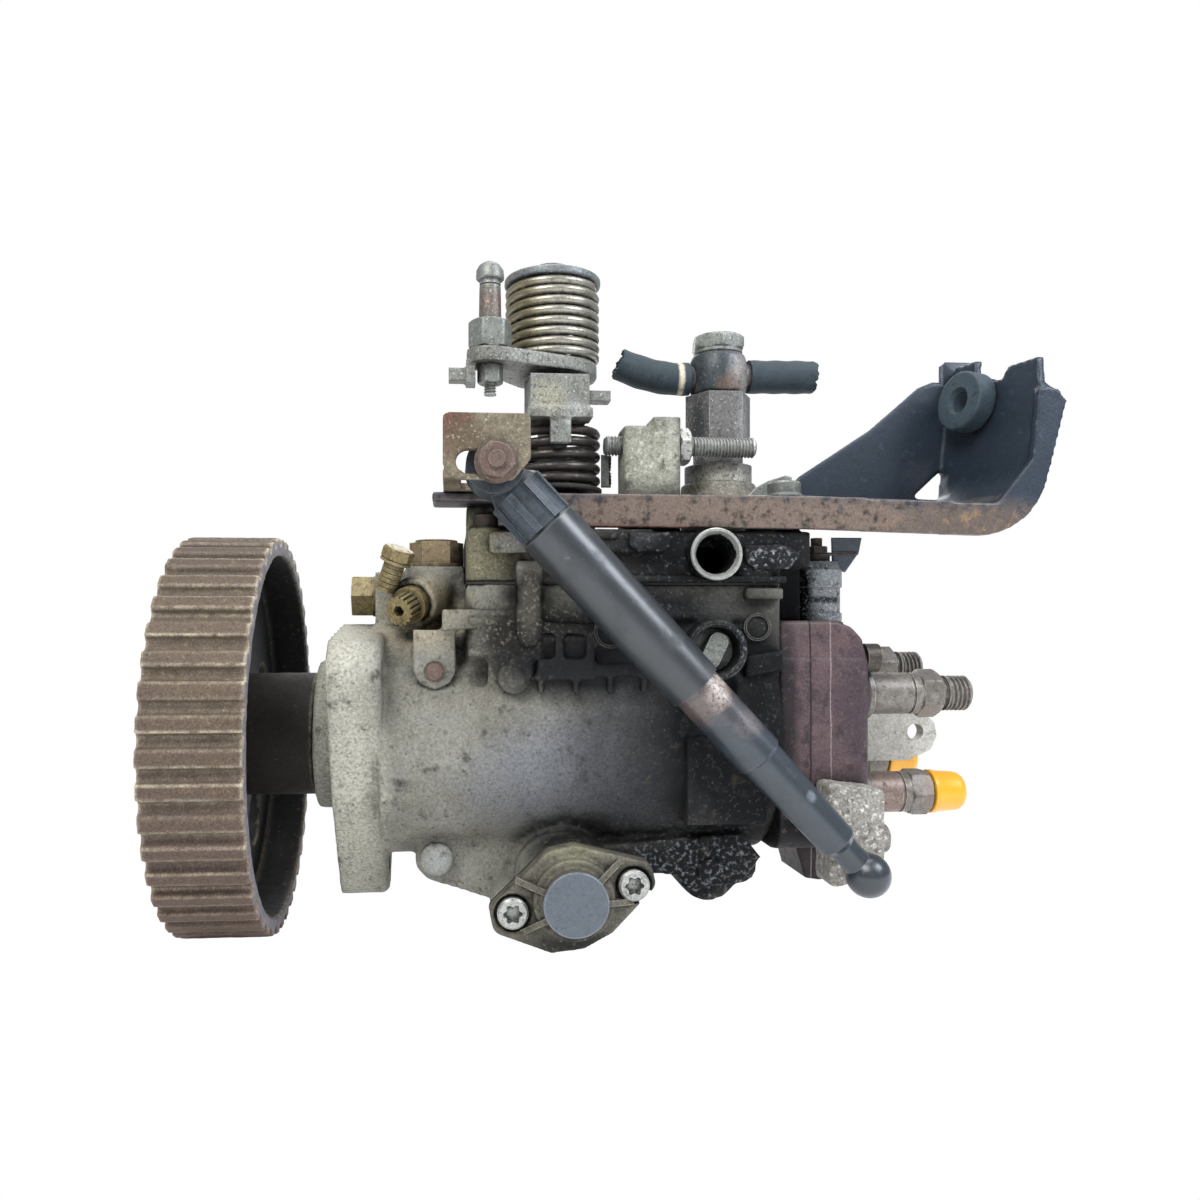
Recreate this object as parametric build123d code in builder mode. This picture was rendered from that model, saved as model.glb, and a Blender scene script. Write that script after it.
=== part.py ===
from build123d import *
from math import atan2, cos, degrees, hypot, pi, radians, sin, tan
import os

os.makedirs("parts", exist_ok=True)

# Rotary distributor-type diesel injection pump with its toothed belt pulley.
# Millimetres. The origin is the centre of the mounting flange's mating face, on the
# axis of the drive shaft. +X runs from the pulley towards the outlets, +Z is up, and
# the side with the strut and the inlet faces -Y.

# Clearances
run_gap = 0.05            # radial, between a shaft and its bore
slide_gap = 0.04          # radial, between a piston or sleeve and its bore
seat_gap = 0.02           # between a pressed or screwed piece and its seat
part_gap = 0.3            # between pieces that pass each other without touching

# Belt pulley
pulley_teeth = 44
belt_pitch = 9.525
pitch_line_above_tip = 0.69
pulley_width = 29.0
pulley_back_x = -20.0
tooth_depth = 2.4
rim_thickness = 6.0
web_setback = 9.0         # from the front rim to the web
web_thickness = 6.0
hub_r = 20.5
hub_back_x = -7.6
lightening_holes = 5
lightening_r = 9.5
pulley_bore_r = 10.0      # at the back, the bore tapers towards the front
taper_end_r = 7.2
pulley_tip_r = pulley_teeth * belt_pitch / (2 * pi) - pitch_line_above_tip
pulley_front_x = pulley_back_x - pulley_width
web_front_x = pulley_front_x + web_setback

# Drive shaft, its nut and its key
thread_r = 6.0
nut_across = 19.0
nut_height = 6.5
washer_r = 12.5
washer_thickness = 2.0
key_radius = 6.5
key_width = 4.0
key_x = -24.0
shaft_r = 10.0

# Flange and spigot of the housing
flange_thickness = 16.0
bolt_circle_r = 44.0
bolt_hole_r = 4.25
ear_r = 10.5
ear_count = 3
flange_disc_r = 37.0
spigot_r = 25.0
spigot_length = 7.0
seal_r = 16.0
seal_depth = 7.0

# Barrel and governor chamber of the housing
head_face_x = 140.6
barrel_r = 40.0
barrel_bore_r = 31.5
bore_start_x = 22.0
chamber_left_x = 41.4
chamber_half_y = 39.0
chamber_wall = 7.0
gasket_z = 49.0
gasket_thickness = 0.8

# Feed pump inside the housing
bush_outer_r = 12.5
bush_front_x = 2.0
bush_length = 19.0
feed_front_x = 23.0
feed_width = 10.0
cam_ring_bore_r = 20.0
ring_offset = 2.0
rotor_r = 17.0
vane_thickness = 3.0
vane_count = 4

# Gear pair of the governor
gear_module = 1.25
drive_teeth = 40
pinion_teeth = 25
gear_x = 50.0
gear_width = 8.0
drive_pitch_r = gear_module * drive_teeth / 2
pinion_pitch_r = gear_module * pinion_teeth / 2
gear_backlash = 0.35
governor_z = drive_pitch_r + pinion_pitch_r + 0.1
governor_shaft_r = 4.0
governor_shaft_end_x = 89.0

# Roller ring, cam plate and plunger
roller_ring_x = 64.0
roller_ring_width = 14.0
roller_ring_r = 26.0
roller_ring_bore_r = 14.0
roller_r = 4.5
roller_count = 4
cam_plate_thickness = 7.0
cam_plate_r = 27.0
cam_lobe_height = 2.0
plunger_r = 6.0
spring_seat_y = 19.5

# Timing device across the bottom of the housing
timing_x = 72.0
timing_z = -42.7
timing_tilt = 11.8        # degrees, of the line through the cover's screws
timing_boss_r = 15.0
timing_bore_r = 10.5
timing_face_y = 50.0
timing_cover_thickness = 6.0
timing_cover_length = 49.0
timing_cover_height = 30.0
timing_screw_span = 36.0
timing_disc_r = 9.3
timing_disc_height = 7.5
timing_stroke = 7.0
timing_piston_length = 46.0
gasket_height = 0.8
timing_screw_length = 12.0

# Distributor head and its outlets
head_length = 30.0
head_half_y = 35.0
plunger_tip_x = head_face_x + 17.4
head_low_z = -36.0
head_high_z = 32.0
head_spigot_length = 8.0
valve_circle_r = 24.7
valve_circle_z = 0.4
valve_turn = 12.0         # degrees, of the ring of outlets about the axis
valve_count = 4
valve_body_r = 7.0
valve_hex_across = 14.0
valve_hex_start = 21.0    # from the head's face
valve_hex_length = 7.5
valve_neck_r = 5.2
valve_neck_length = 2.2
valve_thread_r = 5.9
valve_thread_length = 8.2
valve_cone_r = 3.0
cap_length = 12.0
cap_wall = 1.5

# Solenoid on the head
solenoid_x = head_face_x + 25.4
solenoid_seat_z = 38.0
solenoid_r = 8.0

# Cover of the governor chamber
cover_top_z = 66.0
cover_wall = 5.0
cover_right_x = head_face_x + 6.4
lever_axis_x = 71.0
lever_axis_y = -8.0
lever_tower_r = 11.5
lever_tower_z = 82.6
lever_shaft_r = 5.0
overflow_x = head_face_x - 10.2
overflow_tower_r = 13.0
overflow_tower_z = 86.0
adjuster_y = -15.5
adjuster_z = 96.2
adjuster_r = 3.4
post_right_x = overflow_x - 18.4
post_left_x = post_right_x - 19.0
adjuster_left_x = post_left_x - 5.5
adjuster_right_x = post_right_x + 26.6
post_half_y = 6.5
post_top_z = 105.0

# Fuel inlet and plugged port on the front
inlet_x = overflow_x - 13.2
inlet_z = 58.1
inlet_r = 8.1
inlet_bore_r = 6.0
inlet_face_y = -46.0
inlet_bore_depth = 16.0
port_x = inlet_x + 0.5
port_z = 28.8
port_r = 9.6
port_face_y = -43.5

# Cable bracket
sheet = 3.0
bracket_top_z = 77.0
bracket_front_y = -40.5
strip_depth = 17.0
lip_height = 10.5
bracket_left_x = 31.0
bracket_wide_x = overflow_x + 17.6    # from here on the plate is as deep as the upright
bracket_bend_x = bracket_wide_x + 61.0    # centre of the bend below the upright
bracket_bend_r = 14.0     # inner radius of that bend
bracket_end_z = 75.4      # height of the plate where the bend starts
bracket_skew = 13.0       # degrees, the upright turns towards the front
upright_lean = 5.0        # degrees, the upright leans away from the pump
upright_width = 47.0
lip_corner_x = bracket_bend_x - 6.0
lip_corner_r = 23.7
lip_top_x = bracket_bend_x + 23.5
lip_top_z = 112.0
grommet_along = 30.0      # from the front edge of the upright
grommet_z = 113.5
grommet_r = 10.2
grommet_bore_r = 3.5
grommet_length = 13.0
bracket_bolt_x = head_face_x + 2.8
bracket_bolt_y = -31.0

# Slotted bracket and strut
slot_plate_y = -67.5
slot_plate_thickness = 2.2
slot_plate_left_x = 34.4
slot_plate_right_x = 58.8
slot_plate_low_z = 76.5
slot_plate_high_z = 95.0
slot_length = 15.0
slot_width = 6.4
strut_pivot_x = 49.0
strut_pivot_z = 81.4
strut_y = -56.0
strut_length = 163.0
strut_slope = 47.0        # degrees below +X at rest
strut_socket_end = 22.0   # distances along the strut from its pivot
strut_sleeve_end = 86.0
strut_tube_end = 114.0
strut_neck_start = 151.0
strut_sleeve_r = 9.2
strut_tube_r = 7.4
strut_rod_r = 6.6
strut_ball_r = 6.6
strut_stud_r = 4.0

# Throttle lever stack, heights above the origin
stack_spring_r = 14.6     # to the middle of the wire
upper_wire_r = 1.35
lower_wire_r = 1.6
lever_plate_z = 119.5
lever_plate_thickness = 4.6
upper_spring_turns = 8
lower_spring_turns = 5
cap_disc_z = 150.5
cap_disc_r = 16.2
stud_top_z = 152.8
lever_stud_x = 49.2
lever_stud_y = -25.0

# Banjo union on the overflow tower
banjo_r = 10.2
banjo_low_z = 116.8
banjo_high_z = 131.4
adaptor_across = 20.0
stub_r = 6.0


def across_x(x, y=0, z=0):
    """Plane with its normal along +X, local axes Y and Z."""
    return Plane(origin=(x, y, z), x_dir=(0, 1, 0), z_dir=(1, 0, 0))


def level(z, x=0, y=0):
    """Level plane with its normal up."""
    return Plane(origin=(x, y, z), x_dir=(1, 0, 0), z_dir=(0, 0, 1))


def facing_front(y, x=0, z=0):
    """Upright plane with its normal along -Y, local axes X and Z."""
    return Plane(origin=(x, y, z), x_dir=(1, 0, 0), z_dir=(0, -1, 0))


def disc(plane, radius, height, mode=Mode.ADD):
    """Cylinder that stands on a plane."""
    with BuildSketch(plane) as outline:
        Circle(radius)
    extrude(outline.sketch, amount=height, mode=mode)


def ring(plane, outer, inner, height, mode=Mode.ADD):
    """Tube that stands on a plane."""
    with BuildSketch(plane) as outline:
        Circle(outer)
        Circle(inner, mode=Mode.SUBTRACT)
    extrude(outline.sketch, amount=height, mode=mode)


def hexagon(plane, across_flats, height, mode=Mode.ADD):
    """Six-sided prism that stands on a plane."""
    with BuildSketch(plane) as outline:
        RegularPolygon(across_flats / 2, 6, major_radius=False)
    extrude(outline.sketch, amount=height, mode=mode)


def block(low, high, mode=Mode.ADD):
    """Box between two corners."""
    with BuildSketch(level(low[2], (low[0] + high[0]) / 2, (low[1] + high[1]) / 2)) as outline:
        Rectangle(high[0] - low[0], high[1] - low[1])
    extrude(outline.sketch, amount=high[2] - low[2], mode=mode)


def rounded_block(low, high, corner_r, mode=Mode.ADD):
    """Box between two corners, with its upright edges rounded."""
    with BuildSketch(level(low[2], (low[0] + high[0]) / 2, (low[1] + high[1]) / 2)) as outline:
        RectangleRounded(high[0] - low[0], high[1] - low[1], corner_r)
    extrude(outline.sketch, amount=high[2] - low[2], mode=mode)


def polygon_plate(plane, points, height, mode=Mode.ADD):
    """Flat plate with a straight-sided outline."""
    with BuildSketch(plane) as outline:
        with BuildLine():
            Polyline(*points, close=True)
        make_face()
    extrude(outline.sketch, amount=height, mode=mode)


def turned(axis_plane, profile, mode=Mode.ADD):
    """Turned piece: profile points are (distance along the axis, radius)."""
    frame = Plane(origin=axis_plane.origin, x_dir=axis_plane.z_dir, z_dir=axis_plane.y_dir)
    with BuildSketch(frame) as outline:
        with BuildLine():
            Polyline(*[(along, -radius) for along, radius in profile], close=True)
        make_face()
    revolve(outline.sketch, axis=Axis(axis_plane.origin, axis_plane.z_dir), mode=mode)


def timing_side(side, distance):
    """Outward plane on one side of the timing cylinder, turned along the cover's screws."""
    tilt = radians(timing_tilt)
    along = (side * cos(tilt), 0, side * sin(tilt))
    return Plane(origin=(timing_x, -side * (timing_face_y + distance), timing_z), x_dir=along, z_dir=(0, -side, 0))


def timing_screw_holes(side):
    """Holes for the two cover screws, into the timing cylinder's pads."""
    with BuildSketch(timing_side(side, 4)) as holes:
        with Locations((-timing_screw_span / 2, 0), (timing_screw_span / 2, 0)):
            Circle(2.5 + seat_gap)
    extrude(holes.sketch, amount=-timing_screw_length, mode=Mode.SUBTRACT)


def on_circle(radius, count, start=0.0):
    """Points spaced evenly round a circle, as pairs."""
    step = 360 / count
    angles = [radians(start + step * number) for number in range(count)]
    return [(radius * cos(angle), radius * sin(angle)) for angle in angles]


flange_ears = on_circle(bolt_circle_r, ear_count, -90)
valve_places = [(y, z + valve_circle_z) for y, z in on_circle(valve_circle_r, valve_count, 45 + valve_turn)]
head_end_x = head_face_x + head_length

# Pump housing: flange, barrel, governor chamber and timing cylinder in one casting
corner_boss_r = 6.0
corner_places = [
    (chamber_left_x + corner_boss_r, -chamber_half_y + corner_boss_r),
    (chamber_left_x + corner_boss_r, chamber_half_y - corner_boss_r),
    (head_face_x - corner_boss_r, -chamber_half_y + corner_boss_r),
    (head_face_x - corner_boss_r, chamber_half_y - corner_boss_r),
]
cover_screw_r = 2.5
boss_rise = 0.4
top_block_high_z = 56.0
top_block_left_x = 12.0
top_block_half_y = 14.0
pressure_valve_x = 31.8
block_plug_z = 46.5
rib_height = 1.8
cold_axis = Vector(-0.426, -0.853, -0.298).normalized()
cold_centre = Vector(25.8, -20.0, 44.5)
cold_plane = Plane(origin=cold_centre, x_dir=(0.894, -0.447, 0), z_dir=cold_axis)
cold_shaft_r = 5.9
cold_boss_r = 8.2
cold_boss_length = 3.0
ring_bore_start_x = roller_ring_x - 1.0
ring_bore_end_x = roller_ring_x + roller_ring_width + 2.0
governor_shaft_start_x = 30.0

left_boss_place = (32.2, -37.6)
right_boss_place = (119.5, -42.3)
left_web_points = [(25.5, -30.0), (25.6, -40.5), (29.4, -44.6), (60.0, -55.0), (72.0, -42.7), (60.0, -30.0)]
right_web_points = [(76.0, -34.0), (84.0, -42.6), (110.0, -43.1), (112.0, -48.0), (130.0, -46.0), (136.0, -38.0), (130.0, -30.0)]
with BuildPart() as pump_housing:
    with BuildSketch(across_x(0)) as flange_outline:
        Circle(flange_disc_r)
        with Locations(*flange_ears):
            Circle(ear_r)
        make_hull()
    extrude(amount=flange_thickness)
    chamfer(pump_housing.faces().sort_by(Axis.X)[-1].outer_wire().edges(), 1.5)
    disc(across_x(-spigot_length), spigot_r, spigot_length)
    disc(across_x(flange_thickness - 1), barrel_r, head_face_x - flange_thickness + 1)
    rounded_block((chamber_left_x, -chamber_half_y, 0), (head_face_x, chamber_half_y, gasket_z), 5)
    # Block for the pressure valve, ahead of the chamber
    block((top_block_left_x, -top_block_half_y, 20), (24, top_block_half_y, top_block_high_z - 2))
    block((22, -top_block_half_y, 20), (chamber_left_x + 2, top_block_half_y, gasket_z - 1))
    block((22, -top_block_half_y, gasket_z - 1), (chamber_left_x, top_block_half_y, top_block_high_z))
    # Timing cylinder, crossing under the barrel
    disc(facing_front(timing_face_y, timing_x, timing_z), timing_boss_r, 2 * timing_face_y)
    for side in (-1, 1):
        screw_pad = timing_face_y - 14
        for end in (-1, 1):
            pad_x = timing_x + end * timing_screw_span / 2 * cos(radians(timing_tilt))
            pad_z = timing_z + end * timing_screw_span / 2 * sin(radians(timing_tilt))
            pad_plane = facing_front(timing_face_y if side > 0 else -screw_pad, pad_x, pad_z)
            disc(pad_plane, 6.0, timing_face_y - screw_pad)
    # Buttresses from the barrel to the flange ears
    for y, z in flange_ears:
        reach = hypot(y, z)
        with BuildSketch(Plane(origin=(0, 0, 0), x_dir=(1, 0, 0), z_dir=(0, -z / reach, y / reach))) as web:
            with BuildLine():
                Polyline(
                    (flange_thickness - 1, -reach + 2),
                    (flange_thickness + 5, -reach + 3),
                    (flange_thickness + 24, -barrel_r + 2),
                    (flange_thickness - 1, -barrel_r + 4),
                    close=True,
                )
            make_face()
        extrude(web.sketch, amount=5, both=True)
    # Cast bosses and pads of the front wall
    polygon_plate(facing_front(-12), left_web_points, 12)
    polygon_plate(facing_front(-8), right_web_points, 22)
    disc(facing_front(-6, *left_boss_place), 6.8, 19)
    disc(facing_front(-6, *left_boss_place), 5.0, 21)
    disc(facing_front(-6, *right_boss_place), 10.0, 22)
    disc(facing_front(-6, *right_boss_place), 4.4, 24)
    disc(facing_front(-8, 130.0, -41.5), 5.4, 20)
    block((port_x - 8.7, -42.5, -25.0), (port_x + 16.3, -30, 2.0))
    disc(facing_front(-30, 57.5, 23.0), 4.4, 12.5)
    disc(facing_front(-30, port_x + 13.3, 35.6), 4.6, 11.2)
    disc(facing_front(-30, port_x, port_z), port_r, -port_face_y - 30)
    block((24.5, -33.0, 14.5), (38.0, -20.0, 31.0))
    disc(facing_front(-30, 30.5, 22.5), 2.3, 4.2)
    # Ribs of the front wall
    disc(level(26.0, 61.5, -chamber_half_y + 1.6), 4.6, gasket_z - 26.0)
    block((42.0, -chamber_half_y - rib_height, 36.6), (58.0, -30, 39.0))
    block((66.0, -chamber_half_y - rib_height, 31.4), (82.0, -30, 34.0))
    block((64.0, -chamber_half_y - rib_height, 21.6), (96.0, -30, 25.0))
    block((42.0, -chamber_half_y - rib_height, 27.0), (56.0, -30, 29.4))
    block((port_x + 6.8, -chamber_half_y - rib_height, 2.0), (port_x + 9.3, -30, 21.0))
    block((88.0, -chamber_half_y - rib_height, 38.0), (head_face_x - 4.6, -30, 41.0))
    # Boss of the cold start shaft
    disc(Plane(origin=cold_centre - cold_axis * 11, x_dir=cold_plane.x_dir, z_dir=cold_axis), cold_boss_r, 11 + cold_boss_length)
    # Bores along the drive shaft
    disc(across_x(-spigot_length - 1), seal_r, seal_depth + 1, Mode.SUBTRACT)
    disc(across_x(-1), bush_outer_r + seat_gap, feed_front_x + 3, Mode.SUBTRACT)
    disc(across_x(bore_start_x), barrel_bore_r, ring_bore_start_x - bore_start_x, Mode.SUBTRACT)
    disc(across_x(bore_start_x), roller_ring_r + run_gap, head_face_x - bore_start_x, Mode.SUBTRACT)
    disc(across_x(ring_bore_end_x), barrel_bore_r, head_face_x - ring_bore_end_x + 1, Mode.SUBTRACT)
    # Governor chamber
    block(
        (chamber_left_x + chamber_wall, -chamber_half_y + chamber_wall, 5),
        (head_face_x - chamber_wall, chamber_half_y - chamber_wall, gasket_z + 1),
        Mode.SUBTRACT,
    )
    # Bore for the governor shaft
    disc(across_x(governor_shaft_start_x, 0, governor_z), governor_shaft_r + seat_gap, 40, Mode.SUBTRACT)
    # Timing cylinder bore, and the slot for its pin
    disc(facing_front(timing_face_y + 1, timing_x, timing_z), timing_bore_r, 2 * timing_face_y + 2, Mode.SUBTRACT)
    block((timing_x - 6, -6, timing_z), (timing_x + 6, 6 + timing_stroke, -20), Mode.SUBTRACT)
    # Bores of the plug, the cold start shaft, the port and the screws
    disc(Plane(origin=cold_centre - cold_axis * 8, x_dir=cold_plane.x_dir, z_dir=cold_axis), cold_shaft_r + run_gap, 30, Mode.SUBTRACT)
    disc(facing_front(port_face_y + 6, port_x, port_z), 6.9, 7, Mode.SUBTRACT)
    with Locations(*[(0, y, z) for y, z in flange_ears]):
        with Locations(Rotation(0, -90, 0)):
            Hole(bolt_hole_r, 3 * flange_thickness)
    for x, y in corner_places:
        disc(level(gasket_z - 14, x, y), cover_screw_r + seat_gap, 15, Mode.SUBTRACT)
    for side in (-1, 1):
        timing_screw_holes(side)
pump_housing.part.label = "pump_housing"
export_step(pump_housing.part, "parts/pump_housing.step")

# Oil seal and plain bush of the drive shaft
with BuildPart() as oil_seal:
    ring(across_x(-spigot_length + 0.5), seal_r - seat_gap, shaft_r + 2.2, seal_depth - 0.5)
    ring(across_x(-spigot_length + 2), shaft_r + 3, shaft_r + run_gap, seal_depth - 4)
oil_seal.part.label = "oil_seal"
export_step(oil_seal.part, "parts/oil_seal.step")

with BuildPart() as shaft_bush:
    ring(across_x(bush_front_x), bush_outer_r, shaft_r + run_gap, bush_length)
shaft_bush.part.label = "shaft_bush"
export_step(shaft_bush.part, "parts/shaft_bush.step")

# Toothed belt pulley: trapezoidal teeth, a hollow back and a web with lightening holes
tooth_angle = 360 / pulley_teeth
root_r = pulley_tip_r - tooth_depth
tip_half = tooth_angle * 0.27
root_half = tooth_angle * 0.33


def tooth_corner(radius, angle):
    """Point on the tooth outline at a radius and an angle in degrees."""
    return (radius * cos(radians(angle)), radius * sin(radians(angle)))


tooth_points = []
for number in range(pulley_teeth):
    middle = number * tooth_angle
    tooth_points.append(tooth_corner(root_r, middle - root_half))
    tooth_points.append(tooth_corner(pulley_tip_r, middle - tip_half))
    tooth_points.append(tooth_corner(pulley_tip_r, middle + tip_half))
    tooth_points.append(tooth_corner(root_r, middle + root_half))

with BuildPart() as belt_pulley:
    polygon_plate(across_x(pulley_front_x), tooth_points, pulley_width)
    disc(across_x(web_front_x + web_thickness), pulley_tip_r - rim_thickness, pulley_width, Mode.SUBTRACT)
    disc(across_x(pulley_front_x - 1), pulley_tip_r - rim_thickness - 1.5, web_setback + 1, Mode.SUBTRACT)
    disc(across_x(web_front_x), hub_r, hub_back_x - web_front_x)
    turned(
        across_x(web_front_x - 1),
        [(0, 0), (0, taper_end_r), (1, taper_end_r), (hub_back_x - web_front_x + 2, pulley_bore_r + 0.1),
         (hub_back_x - web_front_x + 2, 0)],
        Mode.SUBTRACT,
    )
    with BuildSketch(across_x(web_front_x - 1)) as holes:
        with PolarLocations((hub_r + pulley_tip_r - rim_thickness) / 2, lightening_holes, 18):
            Circle(lightening_r)
    extrude(holes.sketch, amount=web_thickness + 2, mode=Mode.SUBTRACT)
    block((key_x - key_radius - 1, -key_width / 2 - seat_gap, 0), (hub_back_x + 1, key_width / 2 + seat_gap, 13.5), Mode.SUBTRACT)
belt_pulley.part.label = "belt_pulley"
export_step(belt_pulley.part, "parts/belt_pulley.step")

# Drive shaft: threaded end, taper, journal and the claws that drive the cam plate
thread_end_x = pulley_front_x + 0.3
claw_end_x = roller_ring_x + roller_ring_width + 1.5
with BuildPart() as drive_shaft:
    turned(
        across_x(0),
        [(thread_end_x, 0), (thread_end_x, thread_r - 1), (thread_end_x + 1, thread_r), (web_front_x + 0.5, thread_r),
         (web_front_x + 0.5, taper_end_r - seat_gap), (hub_back_x + 1, pulley_bore_r - seat_gap),
         (hub_back_x + 1.5, shaft_r), (gear_x + gear_width + 1, shaft_r), (gear_x + gear_width + 1, shaft_r + 2),
         (claw_end_x - 9, shaft_r + 2), (claw_end_x - 9, 0)],
    )
    for side in (-1, 1):
        block((claw_end_x - 10, side * 7.5 - 3.0, -5), (claw_end_x, side * 7.5 + 3.0, 5))
    block((key_x - key_radius, -key_width / 2 - seat_gap, 6), (key_x + key_radius, key_width / 2 + seat_gap, 14), Mode.SUBTRACT)
drive_shaft.part.label = "drive_shaft"
export_step(drive_shaft.part, "parts/drive_shaft.step")

with BuildPart() as shaft_key:
    block((key_x - key_radius + 0.1, -key_width / 2, 6.1), (key_x + key_radius - 0.1, key_width / 2, 12.6))
    fillet(shaft_key.edges().filter_by(Axis.Y).group_by(Axis.Z)[0], 4.5)
shaft_key.part.label = "shaft_key"
export_step(shaft_key.part, "parts/shaft_key.step")

with BuildPart() as pulley_nut:
    hexagon(across_x(web_front_x - washer_thickness - nut_height), nut_across, nut_height)
    disc(across_x(web_front_x - washer_thickness), washer_r, washer_thickness)
    disc(across_x(pulley_front_x - 5), thread_r + seat_gap, 20, Mode.SUBTRACT)
pulley_nut.part.label = "pulley_nut"
export_step(pulley_nut.part, "parts/pulley_nut.step")

# Feed pump: eccentric ring, rotor with four vanes
with BuildPart() as feed_ring:
    disc(across_x(feed_front_x), barrel_bore_r - seat_gap, feed_width)
    disc(across_x(feed_front_x - 1, 0, ring_offset), cam_ring_bore_r, feed_width + 2, Mode.SUBTRACT)
    ring(across_x(feed_front_x + feed_width), barrel_bore_r - seat_gap, shaft_r + 3, 4)
feed_ring.part.label = "feed_ring"
export_step(feed_ring.part, "parts/feed_ring.step")

vane_tip_r = cam_ring_bore_r - ring_offset - 0.1
with BuildPart() as feed_rotor:
    ring(across_x(feed_front_x + 0.1), rotor_r, shaft_r + seat_gap, feed_width - 0.2)
    for number in range(vane_count):
        with BuildSketch(across_x(feed_front_x)) as slot:
            with PolarLocations(rotor_r - 2, 1, 45 + 90 * number):
                Rectangle(9, vane_thickness + 2 * slide_gap)
        extrude(slot.sketch, amount=feed_width, mode=Mode.SUBTRACT)
    with BuildSketch(across_x(feed_front_x + 0.2)) as vane_outline:
        with PolarLocations(vane_tip_r - 3, vane_count, 45):
            Rectangle(6, vane_thickness)
    extrude(vane_outline.sketch, amount=feed_width - 0.4)
feed_rotor.part.label = "feed_rotor"
export_step(feed_rotor.part, "parts/feed_rotor.step")


def gear_outline(teeth, backlash, turn):
    """Spur gear outline: straight-flanked teeth of the common module, turned by an angle."""
    pitch_r = gear_module * teeth / 2
    step = 360 / teeth
    quarter = step / 4 - degrees(backlash / 4 / pitch_r)
    points = []
    for number in range(teeth):
        middle = number * step + turn
        points.append(tooth_corner(pitch_r - 1.25 * gear_module, middle - quarter * 1.55))
        points.append(tooth_corner(pitch_r, middle - quarter))
        points.append(tooth_corner(pitch_r + gear_module, middle - quarter * 0.42))
        points.append(tooth_corner(pitch_r + gear_module, middle + quarter * 0.42))
        points.append(tooth_corner(pitch_r, middle + quarter))
        points.append(tooth_corner(pitch_r - 1.25 * gear_module, middle + quarter * 1.55))
    return points


with BuildPart() as drive_gear:
    polygon_plate(across_x(gear_x), gear_outline(drive_teeth, gear_backlash, 90), gear_width)
    disc(across_x(gear_x - 1), shaft_r + seat_gap, gear_width + 2, Mode.SUBTRACT)
drive_gear.part.label = "drive_gear"
export_step(drive_gear.part, "parts/drive_gear.step")

# Governor: pinion and flyweight cage, weights, shaft, sliding sleeve
cage_r = 14.0
cage_start_x = gear_x + gear_width
cage_length = 17.0
sleeve_r = 6.5
sleeve_start_x = 66.0
sleeve_end_x = 92.0
pinion_turn = -90 + 180 / pinion_teeth
with BuildPart() as flyweight_cage:
    polygon_plate(across_x(gear_x, 0, governor_z), gear_outline(pinion_teeth, gear_backlash, pinion_turn), gear_width)
    disc(across_x(cage_start_x, 0, governor_z), cage_r, 2.5)
    for y, z in on_circle(cage_r - 2.0, 4, 45):
        disc(across_x(cage_start_x, y, governor_z + z), 1.9, cage_length)
    disc(across_x(gear_x - 1, 0, governor_z), governor_shaft_r + run_gap, 20, Mode.SUBTRACT)
flyweight_cage.part.label = "flyweight_cage"
export_step(flyweight_cage.part, "parts/flyweight_cage.step")

with BuildPart() as flyweights:
    for number in range(4):
        turn = 90 * number
        with BuildSketch(across_x(cage_start_x + 2.8, 0, governor_z)) as weight:
            with PolarLocations(10.3, 1, turn):
                Rectangle(5.4, 9.5)
        extrude(weight.sketch, amount=cage_length - 4)
flyweights.part.label = "flyweights"
export_step(flyweights.part, "parts/flyweights.step")

with BuildPart() as governor_shaft:
    disc(across_x(governor_shaft_start_x, 0, governor_z), governor_shaft_r, governor_shaft_end_x - governor_shaft_start_x)
governor_shaft.part.label = "governor_shaft"
export_step(governor_shaft.part, "parts/governor_shaft.step")

with BuildPart() as governor_sleeve:
    disc(across_x(sleeve_start_x, 0, governor_z), sleeve_r, sleeve_end_x - sleeve_start_x)
    disc(across_x(sleeve_start_x - 1, 0, governor_z), governor_shaft_r + run_gap, sleeve_end_x - sleeve_start_x - 1, Mode.SUBTRACT)
    fillet(governor_sleeve.faces().sort_by(Axis.X)[-1].edges(), 2)
governor_sleeve.part.label = "governor_sleeve"
export_step(governor_sleeve.part, "parts/governor_sleeve.step")

# Control lever, its spindle across the chamber, and the collar on the plunger
lever_pivot_x = 108.0
lever_pivot_z = 24.0
collar_x = lever_pivot_x
collar_r = 12.0
collar_width = 8.0
ball_z = 10.0
lever_points = [
    (-4, -4), (-2.0, -10.5), (2.0, -10.5), (4, -4), (4, 4), (-9.0, 20), (-12.0, 21), (-15.7, 17.9),
    (-15.7, 15.8), (-9.5, 12.5), (-4, 4),
]
with BuildPart() as control_lever:
    with BuildSketch(facing_front(3.0, lever_pivot_x, lever_pivot_z)) as lever_side:
        with BuildLine():
            Polyline(*lever_points, close=True)
        make_face()
    extrude(amount=6)
    disc(facing_front(6, lever_pivot_x, lever_pivot_z), 4.5, 12)
    disc(facing_front(7, lever_pivot_x, lever_pivot_z), 2.5 + run_gap, 14, Mode.SUBTRACT)
    disc(level(ball_z - 1.4, lever_pivot_x), 1.9, 6)
control_lever.part.label = "control_lever"
export_step(control_lever.part, "parts/control_lever.step")

with BuildPart() as lever_spindle:
    disc(facing_front(chamber_half_y - chamber_wall, lever_pivot_x, lever_pivot_z), 2.5, 2 * (chamber_half_y - chamber_wall))
lever_spindle.part.label = "lever_spindle"
export_step(lever_spindle.part, "parts/lever_spindle.step")

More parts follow.
